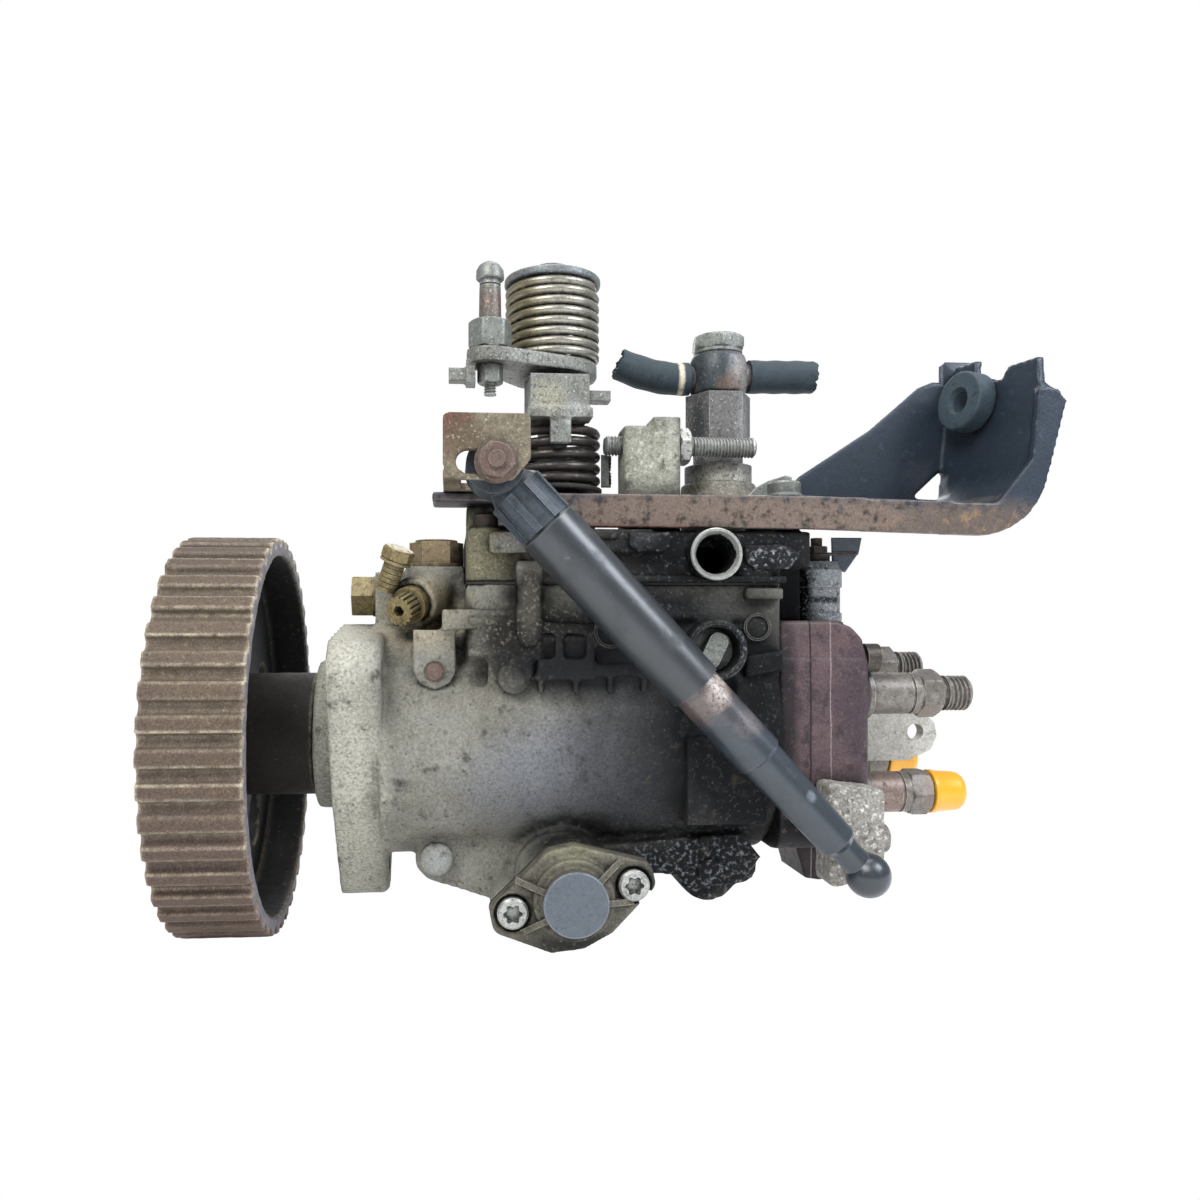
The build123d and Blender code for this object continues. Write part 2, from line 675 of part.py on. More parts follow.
with BuildPart() as control_collar:
    disc(across_x(collar_x - collar_width / 2), collar_r, collar_width)
    disc(across_x(collar_x - collar_width), plunger_r + run_gap, 2 * collar_width, Mode.SUBTRACT)
    disc(level(ball_z - 2.0, collar_x), 2.6, 6, Mode.SUBTRACT)
control_collar.part.label = "control_collar"
export_step(control_collar.part, "parts/control_collar.step")

# Roller ring with its rollers and the pin down to the timing piston
cam_front_x = roller_ring_x + roller_ring_width + cam_lobe_height + 0.4
with BuildPart() as roller_ring:
    ring(across_x(roller_ring_x), roller_ring_r, roller_ring_bore_r, roller_ring_width)
    for number in range(roller_count):
        turn = 45 + 90 * number
        with BuildSketch(across_x(roller_ring_x + 6)) as pocket:
            with PolarLocations((roller_ring_r + roller_ring_bore_r) / 2, 1, turn):
                Rectangle(9.4, 2 * roller_r + 0.6)
        extrude(pocket.sketch, amount=roller_ring_width, mode=Mode.SUBTRACT)
    disc(Plane(origin=(timing_x, 0, -roller_ring_r + 4), z_dir=(0, 0, -1)), 3.5, -timing_z - roller_ring_r + 4 - 3)
    with Locations((timing_x, 0, timing_z + 2)):
        Sphere(4.2)
    for number in range(roller_count):
        turn = radians(45 + 90 * number)
        along = Vector(0, cos(turn), sin(turn))
        start = along * (roller_ring_bore_r + 1.5)
        centre = Vector(roller_ring_x + roller_ring_width - roller_r + 0.2, start.Y, start.Z)
        disc(Plane(origin=centre, x_dir=(1, 0, 0), z_dir=along), roller_r, 9.0)
roller_ring.part.label = "roller_ring"
export_step(roller_ring.part, "parts/roller_ring.step")

# Cam plate with its four lobes, and the distributor plunger
with BuildPart() as cam_plate:
    disc(across_x(cam_front_x), cam_plate_r, cam_plate_thickness)
    for number in range(roller_count):
        with BuildSketch(across_x(cam_front_x + 0.5)) as lobe:
            with PolarLocations((roller_ring_r + roller_ring_bore_r) / 2, 1, 90 * number):
                Rectangle(9, 14)
        extrude(lobe.sketch, amount=-cam_lobe_height, taper=30)
    disc(across_x(cam_front_x + cam_plate_thickness - 1), 10, 4)
cam_plate.part.label = "cam_plate"
export_step(cam_plate.part, "parts/cam_plate.step")

plunger_start_x = cam_front_x + cam_plate_thickness + 3
with BuildPart() as pump_plunger:
    disc(across_x(plunger_start_x), plunger_r, plunger_tip_x - plunger_start_x)
    disc(across_x(plunger_tip_x - 18), 1.2, 19, Mode.SUBTRACT)
pump_plunger.part.label = "pump_plunger"
export_step(pump_plunger.part, "parts/pump_plunger.step")


def helical_spring(centre, axis, radius, wire_r, height, turns):
    """Round wire wound on a helix; the height is between the middles of the end turns."""
    with BuildLine() as path:
        Helix(pitch=height / turns, height=height, radius=radius, center=centre, direction=axis)
    with BuildSketch(Plane(origin=path.line @ 0, z_dir=path.line % 0)) as wire:
        RegularPolygon(wire_r, 8)
    sweep(wire.sketch, path=path.line, is_frenet=True)


# Return springs of the plunger, between the cam plate's carrier and the head
spring_start_x = cam_front_x + cam_plate_thickness + 2.0
with BuildPart() as plunger_springs:
    for side in (-1, 1):
        helical_spring((spring_start_x + 1, side * spring_seat_y, 0), (1, 0, 0), 5.0, 0.9, head_face_x - head_spigot_length - spring_start_x - 2, 9)
plunger_springs.part.label = "plunger_springs"
export_step(plunger_springs.part, "parts/plunger_springs.step")

# Timing device: piston, spring, and a cover with its gasket on each side
piston_half = timing_piston_length / 2
with BuildPart() as timing_piston:
    disc(facing_front(piston_half, timing_x, timing_z), timing_bore_r - slide_gap, timing_piston_length)
    disc(level(timing_z - 5, timing_x), 5.3, 20, Mode.SUBTRACT)
    disc(facing_front(piston_half + 1, timing_x, timing_z), 7.0, 11, Mode.SUBTRACT)
timing_piston.part.label = "timing_piston"
export_step(timing_piston.part, "parts/timing_piston.step")

spring_pocket_y = piston_half - 10
with BuildPart() as timing_spring:
    helical_spring((timing_x, spring_pocket_y + 1.2, timing_z), (0, 1, 0), 5.4, 1.1, timing_face_y - spring_pocket_y - 2.4, 7)
timing_spring.part.label = "timing_spring"
export_step(timing_spring.part, "parts/timing_spring.step")

half_long = timing_cover_length / 2
half_high = timing_cover_height / 2
cover_outline = [
    (-half_long, -4.4), (-9.5, -half_high + 1.0), (0.0, -half_high), (9.0, -half_high + 2.6), (half_long, -2.0),
    (half_long, 5.0), (3.5, half_high), (-4.5, half_high), (-half_long, 2.5),
]


def timing_plate(side, distance, thickness, corner):
    """Elongated six-sided plate with two ears for the screws."""
    with BuildSketch(timing_side(side, distance)) as outline:
        with BuildLine():
            Polyline(*cover_outline, close=True)
        make_face()
        fillet(outline.vertices(), corner)
    extrude(outline.sketch, amount=thickness)


with BuildPart() as timing_gaskets:
    for side in (1, -1):
        timing_plate(side, 0, gasket_height, 3.0)
        disc(timing_side(side, -1), timing_bore_r, 4, Mode.SUBTRACT)
        timing_screw_holes(side)
timing_gaskets.part.label = "timing_gaskets"
export_step(timing_gaskets.part, "parts/timing_gaskets.step")

with BuildPart() as timing_covers:
    for side in (1, -1):
        timing_plate(side, gasket_height, timing_cover_thickness, 3.6)
        face = timing_side(side, gasket_height + timing_cover_thickness - 0.5)
        disc(face, timing_disc_r + 2.6, 3.0)
        disc(face, timing_disc_r, timing_disc_height)
        for end in (-1, 1):
            with BuildSketch(timing_side(side, gasket_height + timing_cover_thickness + 4)) as screw_seat:
                with Locations((end * timing_screw_span / 2, 0)):
                    Circle(5.3)
            extrude(screw_seat.sketch, amount=-6.5, mode=Mode.SUBTRACT)
            with BuildSketch(face) as screw_hole:
                with Locations((end * timing_screw_span / 2, 0)):
                    Circle(2.5 + seat_gap)
            extrude(screw_hole.sketch, amount=-20, mode=Mode.SUBTRACT)
timing_covers.part.label = "timing_covers"
export_step(timing_covers.part, "parts/timing_covers.step")

with BuildPart() as timing_screws:
    for side in (1, -1):
        seat = timing_side(side, gasket_height + timing_cover_thickness - 2.5)
        for end in (-1, 1):
            with BuildSketch(seat) as head_outline:
                with Locations((end * timing_screw_span / 2, 0)):
                    Circle(4.6)
            extrude(head_outline.sketch, amount=4.0)
            with BuildSketch(seat) as shank_outline:
                with Locations((end * timing_screw_span / 2, 0)):
                    Circle(2.5)
            extrude(shank_outline.sketch, amount=-timing_screw_length)
            with BuildSketch(timing_side(side, gasket_height + timing_cover_thickness + 1.5)) as socket:
                with Locations((end * timing_screw_span / 2, 0)):
                    RegularPolygon(2.3, 6)
            extrude(socket.sketch, amount=-2.4, mode=Mode.SUBTRACT)
timing_screws.part.label = "timing_screws"
export_step(timing_screws.part, "parts/timing_screws.step")

# Cold start shaft with its serrated end
with BuildPart() as cold_start_shaft:
    disc(Plane(origin=cold_centre - cold_axis * 7, x_dir=cold_plane.x_dir, z_dir=cold_axis), cold_shaft_r, 13)
    serration = []
    for number in range(16):
        angle = 22.5 * number
        serration.append(tooth_corner(4.6, angle - 5))
        serration.append(tooth_corner(4.6, angle + 5))
        serration.append(tooth_corner(3.8, angle + 11.25))
    polygon_plate(Plane(origin=cold_centre + cold_axis * 6, x_dir=cold_plane.x_dir, z_dir=cold_axis), serration, 6.5)
    hexagon(Plane(origin=cold_centre + cold_axis * 12.6, x_dir=cold_plane.x_dir, z_dir=cold_axis), 3.4, -5, Mode.SUBTRACT)
cold_start_shaft.part.label = "cold_start_shaft"
export_step(cold_start_shaft.part, "parts/cold_start_shaft.step")

# Pressure valve on the top block and plugs of the body
with BuildPart() as pressure_valve:
    disc(level(top_block_high_z, pressure_valve_x, 0), 9.2, 1.6)
    hexagon(level(top_block_high_z + 1.6, pressure_valve_x, 0), 16.0, 7.2)
    disc(level(top_block_high_z + 8.8, pressure_valve_x, 0), 7.2, 0.8)
pressure_valve.part.label = "pressure_valve"
export_step(pressure_valve.part, "parts/pressure_valve.step")

with BuildPart() as screw_plugs:
    disc(across_x(top_block_left_x - 1.6, 0, block_plug_z), 6.9, 1.6)
    hexagon(across_x(top_block_left_x - 8.6, 0, block_plug_z), 13.0, 7.0)
    disc(across_x(head_end_x, 0, valve_circle_z), 7.5, 1.2)
    hexagon(across_x(head_end_x + 1.2, 0, valve_circle_z), 11.0, 6.0)
screw_plugs.part.label = "screw_plugs"
export_step(screw_plugs.part, "parts/screw_plugs.step")

with BuildPart() as port_plug:
    disc(facing_front(port_face_y + 6, port_x, port_z), 6.8, 1.2)
    with BuildSketch(facing_front(port_face_y + 5, port_x, port_z)) as plug_bar:
        RectangleRounded(6.0, 11.0, 2.6, rotation=-25)
    extrude(plug_bar.sketch, amount=3.6)
port_plug.part.label = "port_plug"
export_step(port_plug.part, "parts/port_plug.step")

# Distributor head with four outlets
wedge_points = [(10.0, -32.0), (14.7, -48.4), (20.0, -49.0), (27.5, -44.6), (29.0, -32.0)]
with BuildPart() as distributor_head:
    with BuildSketch(across_x(head_face_x)) as head_outline:
        with Locations((0, (head_low_z + head_high_z) / 2)):
            RectangleRounded(2 * head_half_y, head_high_z - head_low_z, 9)
    extrude(amount=head_length)
    fillet(distributor_head.faces().sort_by(Axis.X)[-1].edges(), 3.5)
    disc(level(24, head_face_x + 23.6, 0), 10.8, solenoid_seat_z - 24)
    block((head_face_x, -15, 20), (head_face_x + 20, 15, solenoid_seat_z - 2.5))
    disc(across_x(head_face_x - head_spigot_length), barrel_bore_r - seat_gap, head_spigot_length + 1)
    for y, z in valve_places:
        disc(across_x(head_end_x - 1, y, z), valve_body_r + 2.2, 3.5)
    disc(across_x(head_face_x - head_spigot_length - 6), 13.0, 8)
    polygon_plate(facing_front(6), [(head_face_x + out, z) for out, z in wedge_points], 24)
    disc(across_x(head_face_x - 30), plunger_r + run_gap, plunger_tip_x - head_face_x + 30 + 1, Mode.SUBTRACT)
    for y, z in valve_places:
        disc(across_x(head_end_x - 10, y, z), valve_body_r + seat_gap - 1.5, 20, Mode.SUBTRACT)
distributor_head.part.label = "distributor_head"
export_step(distributor_head.part, "parts/distributor_head.step")

head_screw_places = [(-28.5, 26.0), (28.5, 26.0), (-28.5, -29.0), (28.5, -29.0)]
with BuildPart() as head_screws:
    for y, z in head_screw_places:
        disc(across_x(head_end_x, y, z), 4.6, 4.6)
        hexagon(across_x(head_end_x + 5, y, z), 4.0, -3.0, Mode.SUBTRACT)
head_screws.part.label = "head_screws"
export_step(head_screws.part, "parts/head_screws.step")

holder_start_x = head_end_x + 2.5
hex_start_x = head_end_x + valve_hex_start
thread_start_x = hex_start_x + valve_hex_length + valve_neck_length
valve_tip_x = thread_start_x + valve_thread_length
with BuildPart() as delivery_valve_holders:
    for y, z in valve_places:
        turned(
            across_x(0, y, z),
            [(head_end_x - 9, 0), (head_end_x - 9, valve_body_r - 1.5), (holder_start_x, valve_body_r - 1.5),
             (holder_start_x, valve_body_r), (hex_start_x, valve_body_r), (thread_start_x - valve_neck_length, valve_body_r),
             (thread_start_x - valve_neck_length, valve_neck_r), (thread_start_x, valve_neck_r),
             (thread_start_x, valve_thread_r), (valve_tip_x - 0.8, valve_thread_r), (valve_tip_x, valve_thread_r - 0.8),
             (valve_tip_x, valve_cone_r), (valve_tip_x - 3.2, 1.0), (head_end_x + 4, 1.0), (head_end_x + 4, 0)],
        )
        hexagon(across_x(hex_start_x, y, z), valve_hex_across, valve_hex_length)
        disc(across_x(head_end_x + 4, y, z), 1.0, 60, Mode.SUBTRACT)
delivery_valve_holders.part.label = "delivery_valve_holders"
export_step(delivery_valve_holders.part, "parts/delivery_valve_holders.step")

# Push-on dust caps on the two lower outlets
low_places = sorted(valve_places, key=lambda place: place[1])[:2]
front_place, rear_place = sorted(low_places)
cap_start_x = valve_tip_x - cap_length + 0.5 + cap_wall
with BuildPart() as dust_cap_front:
    disc(across_x(cap_start_x, *front_place), valve_thread_r + run_gap + cap_wall, cap_length)
    fillet(dust_cap_front.faces().sort_by(Axis.X)[-1].edges(), 1.2)
    disc(across_x(cap_start_x - 1, *front_place), valve_thread_r + run_gap, cap_length - cap_wall + 1, Mode.SUBTRACT)
dust_cap_front.part.label = "dust_cap_front"
export_step(dust_cap_front.part, "parts/dust_cap_front.step")

with BuildPart() as dust_cap_rear:
    disc(across_x(cap_start_x, *rear_place), valve_thread_r + run_gap + cap_wall, cap_length)
    fillet(dust_cap_rear.faces().sort_by(Axis.X)[-1].edges(), 1.2)
    disc(across_x(cap_start_x - 1, *rear_place), valve_thread_r + run_gap, cap_length - cap_wall + 1, Mode.SUBTRACT)
dust_cap_rear.part.label = "dust_cap_rear"
export_step(dust_cap_rear.part, "parts/dust_cap_rear.step")

# Lug plate on the head and the support foot at its lower front corner
lug_points = [(0, 19), (15.4, 18), (34.9, 3), (35.9, -2), (33.4, -7), (25.4, -10.5), (0, -10.5)]
with BuildPart() as valve_lug_plate:
    with BuildSketch(facing_front(-2.5)) as lug_outline:
        with BuildLine():
            Polyline(*[(head_end_x + out, z) for out, z in lug_points], close=True)
        make_face()
        fillet(lug_outline.vertices().sort_by(Axis.X)[2:], 2.5)
        with Locations((head_end_x + 28.1, -0.6)):
            Circle(2.9, mode=Mode.SUBTRACT)
    extrude(amount=5)
    block((head_end_x - 1, -9, -11), (head_end_x + 9, 9, 9.3), Mode.SUBTRACT)
valve_lug_plate.part.label = "valve_lug_plate"
export_step(valve_lug_plate.part, "parts/valve_lug_plate.step")

foot_points = [(11.4, -12), (28.9, -14), (28.9, -36), (23.4, -42), (11.4, -44)]
with BuildPart() as support_foot:
    with BuildSketch(facing_front(-head_half_y)) as foot_outline:
        with BuildLine():
            Polyline(*[(head_face_x + out, z) for out, z in foot_points], close=True)
        make_face()
        fillet(foot_outline.vertices(), 2.0)
    extrude(amount=12)
    disc(across_x(head_face_x + 28.4, -head_half_y - 6, -30), 4.5, 3.5)
support_foot.part.label = "support_foot"
export_step(support_foot.part, "parts/support_foot.step")

# Stop solenoid on top of the head, with its terminal
with BuildPart() as stop_solenoid:
    turned(
        level(0, solenoid_x, 0),
        [(solenoid_seat_z, 0), (solenoid_seat_z, 8.6), (solenoid_seat_z + 3, 8.6), (solenoid_seat_z + 3, solenoid_r),
         (solenoid_seat_z + 12, solenoid_r), (solenoid_seat_z + 12, solenoid_r + 0.6), (solenoid_seat_z + 18, solenoid_r + 0.6),
         (solenoid_seat_z + 21, solenoid_r - 0.8), (solenoid_seat_z + 21, 0)],
    )
stop_solenoid.part.label = "stop_solenoid"
export_step(stop_solenoid.part, "parts/stop_solenoid.step")

solenoid_top_z = solenoid_seat_z + 21
with BuildPart() as solenoid_terminal:
    disc(level(solenoid_top_z, solenoid_x, 0), 4.6, 2.5)
    hexagon(level(solenoid_top_z + 2.5, solenoid_x, 0), 7.0, 3.0)
    disc(level(solenoid_top_z + 5.5, solenoid_x, 0), 2.0, 3.0)
    block((solenoid_x + 1, -3.2, solenoid_top_z + 2.5), (solenoid_x + 14, 3.2, solenoid_top_z + 3.3))
solenoid_terminal.part.label = "solenoid_terminal"
export_step(solenoid_terminal.part, "parts/solenoid_terminal.step")

# Cover of the governor chamber: towers for the lever shaft and the overflow, and the
# post for the adjusting screw
cover_low_z = gasket_z + gasket_thickness
bracket_low_z = bracket_top_z - sheet
strip_back_y = bracket_front_y + strip_depth
left_bolt_x = 60.0
left_bolt_y = -31.0
post_split_x = post_left_x + 9.0
lever_bore_depth = lever_tower_z - cover_top_z + cover_wall + 1
with BuildPart() as governor_cover:
    rounded_block((chamber_left_x, -chamber_half_y, cover_low_z), (head_face_x, chamber_half_y, cover_top_z), 5)
    rounded_block((head_face_x - 8.6, -chamber_half_y + 0.5, cover_low_z + 5), (cover_right_x + 3, -chamber_half_y + 17, cover_top_z), 3)
    disc(level(cover_top_z - 1, bracket_bolt_x, bracket_bolt_y), 4.6, bracket_low_z - cover_top_z + 1)
    disc(level(cover_low_z, left_bolt_x, left_bolt_y), 6.5, bracket_low_z - cover_low_z)
    disc(level(cover_low_z + 6, lever_axis_x, lever_axis_y), lever_tower_r + 3, cover_top_z - cover_low_z - 1)
    disc(level(cover_low_z + 6, lever_axis_x, lever_axis_y), lever_tower_r, lever_tower_z - cover_low_z - 6)
    disc(level(lever_tower_z - 2, lever_axis_x, lever_axis_y), stack_spring_r + lower_wire_r + 0.6, 2)
    disc(level(cover_low_z + 6, overflow_x, 0), overflow_tower_r, overflow_tower_z - cover_low_z - 6)
    fillet(governor_cover.faces().filter_by(Plane.XY).sort_by(Axis.Z)[-1].edges(), 1.2)
    rounded_block((post_left_x, adjuster_y - post_half_y, cover_top_z - 1), (post_split_x - 0.5, adjuster_y + post_half_y, post_top_z - 3.0), 1.2)
    rounded_block((post_split_x + 0.5, adjuster_y - post_half_y, cover_top_z - 1), (post_right_x, adjuster_y + post_half_y, post_top_z), 1.2)
    block((post_left_x + 1, adjuster_y - post_half_y, cover_top_z - 1), (post_right_x - 1, adjuster_y + post_half_y, adjuster_z - 7.0))
    # Bosses, ribs and the inlet port of the front wall
    for x, y in corner_places:
        disc(level(cover_low_z, x, y), corner_boss_r, cover_top_z - cover_low_z + boss_rise)
    disc(facing_front(-30, inlet_x, inlet_z), inlet_r, -inlet_face_y - 30)
    block((78.0, -chamber_half_y - 2.2, 58.5), (99.0, -chamber_half_y + 1, cover_top_z))
    disc(level(cover_low_z, 61.5, -chamber_half_y + 1.6), 4.6, cover_top_z - cover_low_z)
    block((inlet_x + 9, -chamber_half_y - 1.6, cover_low_z), (inlet_x + 19, -chamber_half_y + 1, cover_low_z + 7))
    # Hollow underside
    block(
        (chamber_left_x + chamber_wall, -chamber_half_y + chamber_wall, cover_low_z - 1),
        (head_face_x - chamber_wall, chamber_half_y - chamber_wall, cover_top_z - cover_wall),
        Mode.SUBTRACT,
    )
    disc(level(lever_tower_z + 1, lever_axis_x, lever_axis_y), lever_shaft_r + run_gap, -lever_bore_depth - 2, Mode.SUBTRACT)
    disc(level(overflow_tower_z + 1, overflow_x, 0), 6.0 + seat_gap, -14, Mode.SUBTRACT)
    disc(across_x(post_left_x - 1, adjuster_y, adjuster_z), adjuster_r + seat_gap, post_right_x - post_left_x + 2, Mode.SUBTRACT)
    disc(facing_front(inlet_face_y - 1, inlet_x, inlet_z), inlet_bore_r, -inlet_bore_depth - 1, Mode.SUBTRACT)
    disc(facing_front(inlet_face_y - 1, inlet_x, inlet_z), inlet_bore_r + 0.8, -2.2, Mode.SUBTRACT)
    for x, y in corner_places:
        disc(level(cover_top_z + 3, x, y), cover_screw_r + seat_gap, -40, Mode.SUBTRACT)
    for x, y in ((bracket_bolt_x, bracket_bolt_y), (left_bolt_x, left_bolt_y)):
        disc(level(bracket_top_z, x, y), 3.0 + seat_gap, -13, Mode.SUBTRACT)
governor_cover.part.label = "governor_cover"
export_step(governor_cover.part, "parts/governor_cover.step")

with BuildPart() as cover_gasket:
    rounded_block((chamber_left_x, -chamber_half_y, gasket_z), (head_face_x, chamber_half_y, cover_low_z), 5)
    block(
        (chamber_left_x + chamber_wall, -chamber_half_y + chamber_wall, gasket_z - 1),
        (head_face_x - chamber_wall, chamber_half_y - chamber_wall, cover_low_z + 1),
        Mode.SUBTRACT,
    )
    for x, y in corner_places:
        disc(level(gasket_z - 1, x, y), cover_screw_r + seat_gap, 4, Mode.SUBTRACT)
cover_gasket.part.label = "cover_gasket"
export_step(cover_gasket.part, "parts/cover_gasket.step")

screw_seat_z = cover_top_z + boss_rise
with BuildPart() as cover_screws:
    for x, y in corner_places:
        disc(level(screw_seat_z, x, y), 4.4, 4.0)
        disc(level(screw_seat_z, x, y), cover_screw_r, gasket_z - 12 - screw_seat_z)
        hexagon(level(screw_seat_z + 4.2, x, y), 4.0, -2.5, Mode.SUBTRACT)
cover_screws.part.label = "cover_screws"
export_step(cover_screws.part, "parts/cover_screws.step")

# Cable bracket: a strip with a turned-down lip, bent up into an upright plate that a
# web joins to the strip, with a window at the corner where the three bends meet
skew = radians(bracket_skew)
lean = radians(upright_lean)
bend_centre_z = bracket_end_z + bracket_bend_r
upright_top_z = 132.0
upright_rise = upright_top_z - bend_centre_z
skew_way = (-sin(skew), cos(skew), 0)
lip_plane = facing_front(bracket_front_y + sheet)
bend_plane = facing_front(bracket_front_y)
inner_x = bracket_bend_x + bracket_bend_r
outer_x = inner_x + sheet


def bend_point(radius, angle):
    """Point of the bend below the upright; 0 degrees is its end, -90 its start."""
    return (bracket_bend_x + radius * cos(radians(angle)), bend_centre_z + radius * sin(radians(angle)))


def lip_point(angle):
    """Point of the lip's outer corner arc."""
    centre_z = bracket_end_z - lip_height + lip_corner_r
    return (lip_corner_x + lip_corner_r * cos(radians(angle)), centre_z + lip_corner_r * sin(radians(angle)))


web_points = [(-59.0, 79.0), (-48.0, 90.0), (-22.0, 107.0), (-4.0, 122.5), (1.0, 124.5), (7.0, 124.5)]
window_points = [(-6.5, 82.5), (4.0, 82.0), (5.5, 93.5)]
with BuildPart() as cable_bracket:
    block((bracket_left_x, bracket_front_y, bracket_low_z), (bracket_wide_x + 2, strip_back_y, bracket_top_z))
    # The deep part, sloping slightly down to the bend
    with BuildSketch(bend_plane) as slope_side:
        with BuildLine():
            Polyline(
                (bracket_wide_x, bracket_top_z), (bracket_bend_x, bracket_end_z),
                (bracket_bend_x, bracket_end_z - sheet), (bracket_wide_x, bracket_low_z), close=True,
            )
        make_face()
    extrude(slope_side.sketch, amount=-upright_width * cos(skew))
    # The bend and the upright, both along the skewed line
    with BuildSketch(bend_plane) as bend_side:
        with BuildLine():
            upright_inner = (inner_x + upright_rise * tan(lean), upright_top_z)
            Line(bend_point(bracket_bend_r + sheet, -90), bend_point(bracket_bend_r, -90))
            ThreePointArc(bend_point(bracket_bend_r, -90), bend_point(bracket_bend_r, -45), bend_point(bracket_bend_r, 0))
            Line(bend_point(bracket_bend_r, 0), upright_inner)
            Line(upright_inner, (upright_inner[0] + sheet, upright_top_z))
            Line((upright_inner[0] + sheet, upright_top_z), bend_point(bracket_bend_r + sheet, 0))
            ThreePointArc(
                bend_point(bracket_bend_r + sheet, 0), bend_point(bracket_bend_r + sheet, -45),
                bend_point(bracket_bend_r + sheet, -90),
            )
        make_face()
    extrude(bend_side.sketch, amount=upright_width, dir=skew_way)
    # Web at the back, up to the upright's back edge
    web_back_y = bracket_front_y + upright_width * cos(skew)
    with BuildSketch(facing_front(web_back_y)) as web_side:
        with BuildLine():
            Polyline(
                (bracket_wide_x + 2, bracket_low_z), *[(bracket_bend_x + out, z) for out, z in web_points],
                (bracket_bend_x + 5, bracket_end_z), (bracket_bend_x, bracket_end_z - sheet),
                close=True,
            )
        make_face()
    extrude(web_side.sketch, amount=sheet)
    # Lip along the front edge, from the left end round the corner
    with BuildSketch(lip_plane) as lip_side:
        with BuildLine():
            Polyline(
                (lip_top_x - 9.5, lip_top_z), (inner_x - 2, bend_centre_z), (bracket_bend_x, bracket_end_z - 1),
                (bracket_wide_x, bracket_low_z + 1), (bracket_left_x + 20, bracket_low_z + 1),
                (bracket_left_x + 20, bracket_top_z - lip_height), (bracket_wide_x, bracket_top_z - lip_height), lip_point(-90),
            )
            ThreePointArc(lip_point(-90), lip_point(-52), lip_point(-14))
            Line(lip_point(-14), (lip_top_x, lip_top_z - 4))
            Line((lip_top_x, lip_top_z - 4), (lip_top_x - 3, lip_top_z))
            Line((lip_top_x - 3, lip_top_z), (lip_top_x - 9.5, lip_top_z))
        make_face()
    extrude(lip_side.sketch, amount=sheet)
    # Outline of the upright's top edge, cut along the plate's normal
    top_points = [
        (-3, lip_top_z), (4.0, lip_top_z), (7.5, 115.0), (8.5, 123.3), (21.5, 123.3), (23.5, 119.5), (35.0, 121.0),
        (36.0, 129.0), (46.0, 129.0), (upright_width + 2, 126.0), (upright_width + 2, 140), (-3, 140),
    ]
    with BuildSketch(Plane(origin=(outer_x + 20, bracket_front_y, 0), x_dir=skew_way, z_dir=(cos(skew), sin(skew), 0))) as top_cut:
        with BuildLine():
            Polyline(*top_points, close=True)
        make_face()
    extrude(top_cut.sketch, amount=-60, mode=Mode.SUBTRACT)
    # Window, grommet hole and bolt holes
    polygon_plate(facing_front(web_back_y + 12), [(bracket_bend_x + out, z) for out, z in window_points], 30, Mode.SUBTRACT)
    grommet_plane = Plane(
        origin=Vector(inner_x + (grommet_z - bend_centre_z) * tan(lean), bracket_front_y, grommet_z)
        + Vector(*skew_way) * grommet_along,
        x_dir=skew_way,
        z_dir=(-cos(skew) * cos(lean), -sin(skew) * cos(lean), sin(lean)),
    )
    disc(grommet_plane.offset(-20), 7.5 + seat_gap, 40, Mode.SUBTRACT)
    for x, y in ((bracket_bolt_x, bracket_bolt_y), (left_bolt_x, left_bolt_y)):
        disc(level(bracket_low_z - 1, x, y), 3.0 + seat_gap, 6, Mode.SUBTRACT)
cable_bracket.part.label = "cable_bracket"
export_step(cable_bracket.part, "parts/cable_bracket.step")

with BuildPart() as cable_grommet:
    disc(grommet_plane.offset(seat_gap), grommet_r, grommet_length - sheet - 2.5)
    fillet(cable_grommet.edges(), 1.0)
    disc(grommet_plane.offset(1), 7.5, -sheet - 1.4)
    disc(grommet_plane.offset(-sheet - 0.4), grommet_r - 1, -2.5)
    disc(grommet_plane.offset(-20), grommet_bore_r, 40, Mode.SUBTRACT)
    with BuildSketch(grommet_plane.offset(grommet_length - sheet - 2.5 + 0.1)) as mouth:
        Circle(grommet_bore_r + 1.2)
    extrude(mouth.sketch, amount=-1.6, taper=30, mode=Mode.SUBTRACT)
cable_grommet.part.label = "cable_grommet"
export_step(cable_grommet.part, "parts/cable_grommet.step")

# Slotted bracket that carries the strut's pivot bolt
slot_centre_x = 45.5
with BuildPart() as slot_bracket:
    with BuildSketch(facing_front(slot_plate_y + slot_plate_thickness)) as plate_outline:
        with BuildLine():
            Polyline(
                (slot_plate_left_x, slot_plate_low_z + 4), (slot_plate_left_x + 4, slot_plate_low_z),
                (slot_plate_right_x - 5, slot_plate_low_z), (slot_plate_right_x, slot_plate_low_z + 6),
                (slot_plate_right_x, slot_plate_high_z), (slot_plate_left_x, slot_plate_high_z), close=True,
            )
        make_face()
        fillet(plate_outline.vertices(), 1.5)
        with Locations((slot_centre_x, strut_pivot_z)):
            SlotOverall(slot_length, slot_width, mode=Mode.SUBTRACT)
    extrude(amount=slot_plate_thickness)
    # Foot, past the strut's eye and back onto the cable bracket
    polygon_plate(
        level(bracket_top_z),
        [(slot_plate_left_x, slot_plate_y + 0.5), (39.6, slot_plate_y + 0.5), (39.6, -44.0), (67.0, -40.0),
         (67.0, strip_back_y - 0.5), (slot_plate_left_x, strip_back_y - 0.5)],
        slot_plate_thickness,
    )
    disc(level(bracket_top_z - 1, left_bolt_x, left_bolt_y), 3.0 + seat_gap, 6, Mode.SUBTRACT)
slot_bracket.part.label = "slot_bracket"
export_step(slot_bracket.part, "parts/slot_bracket.step")

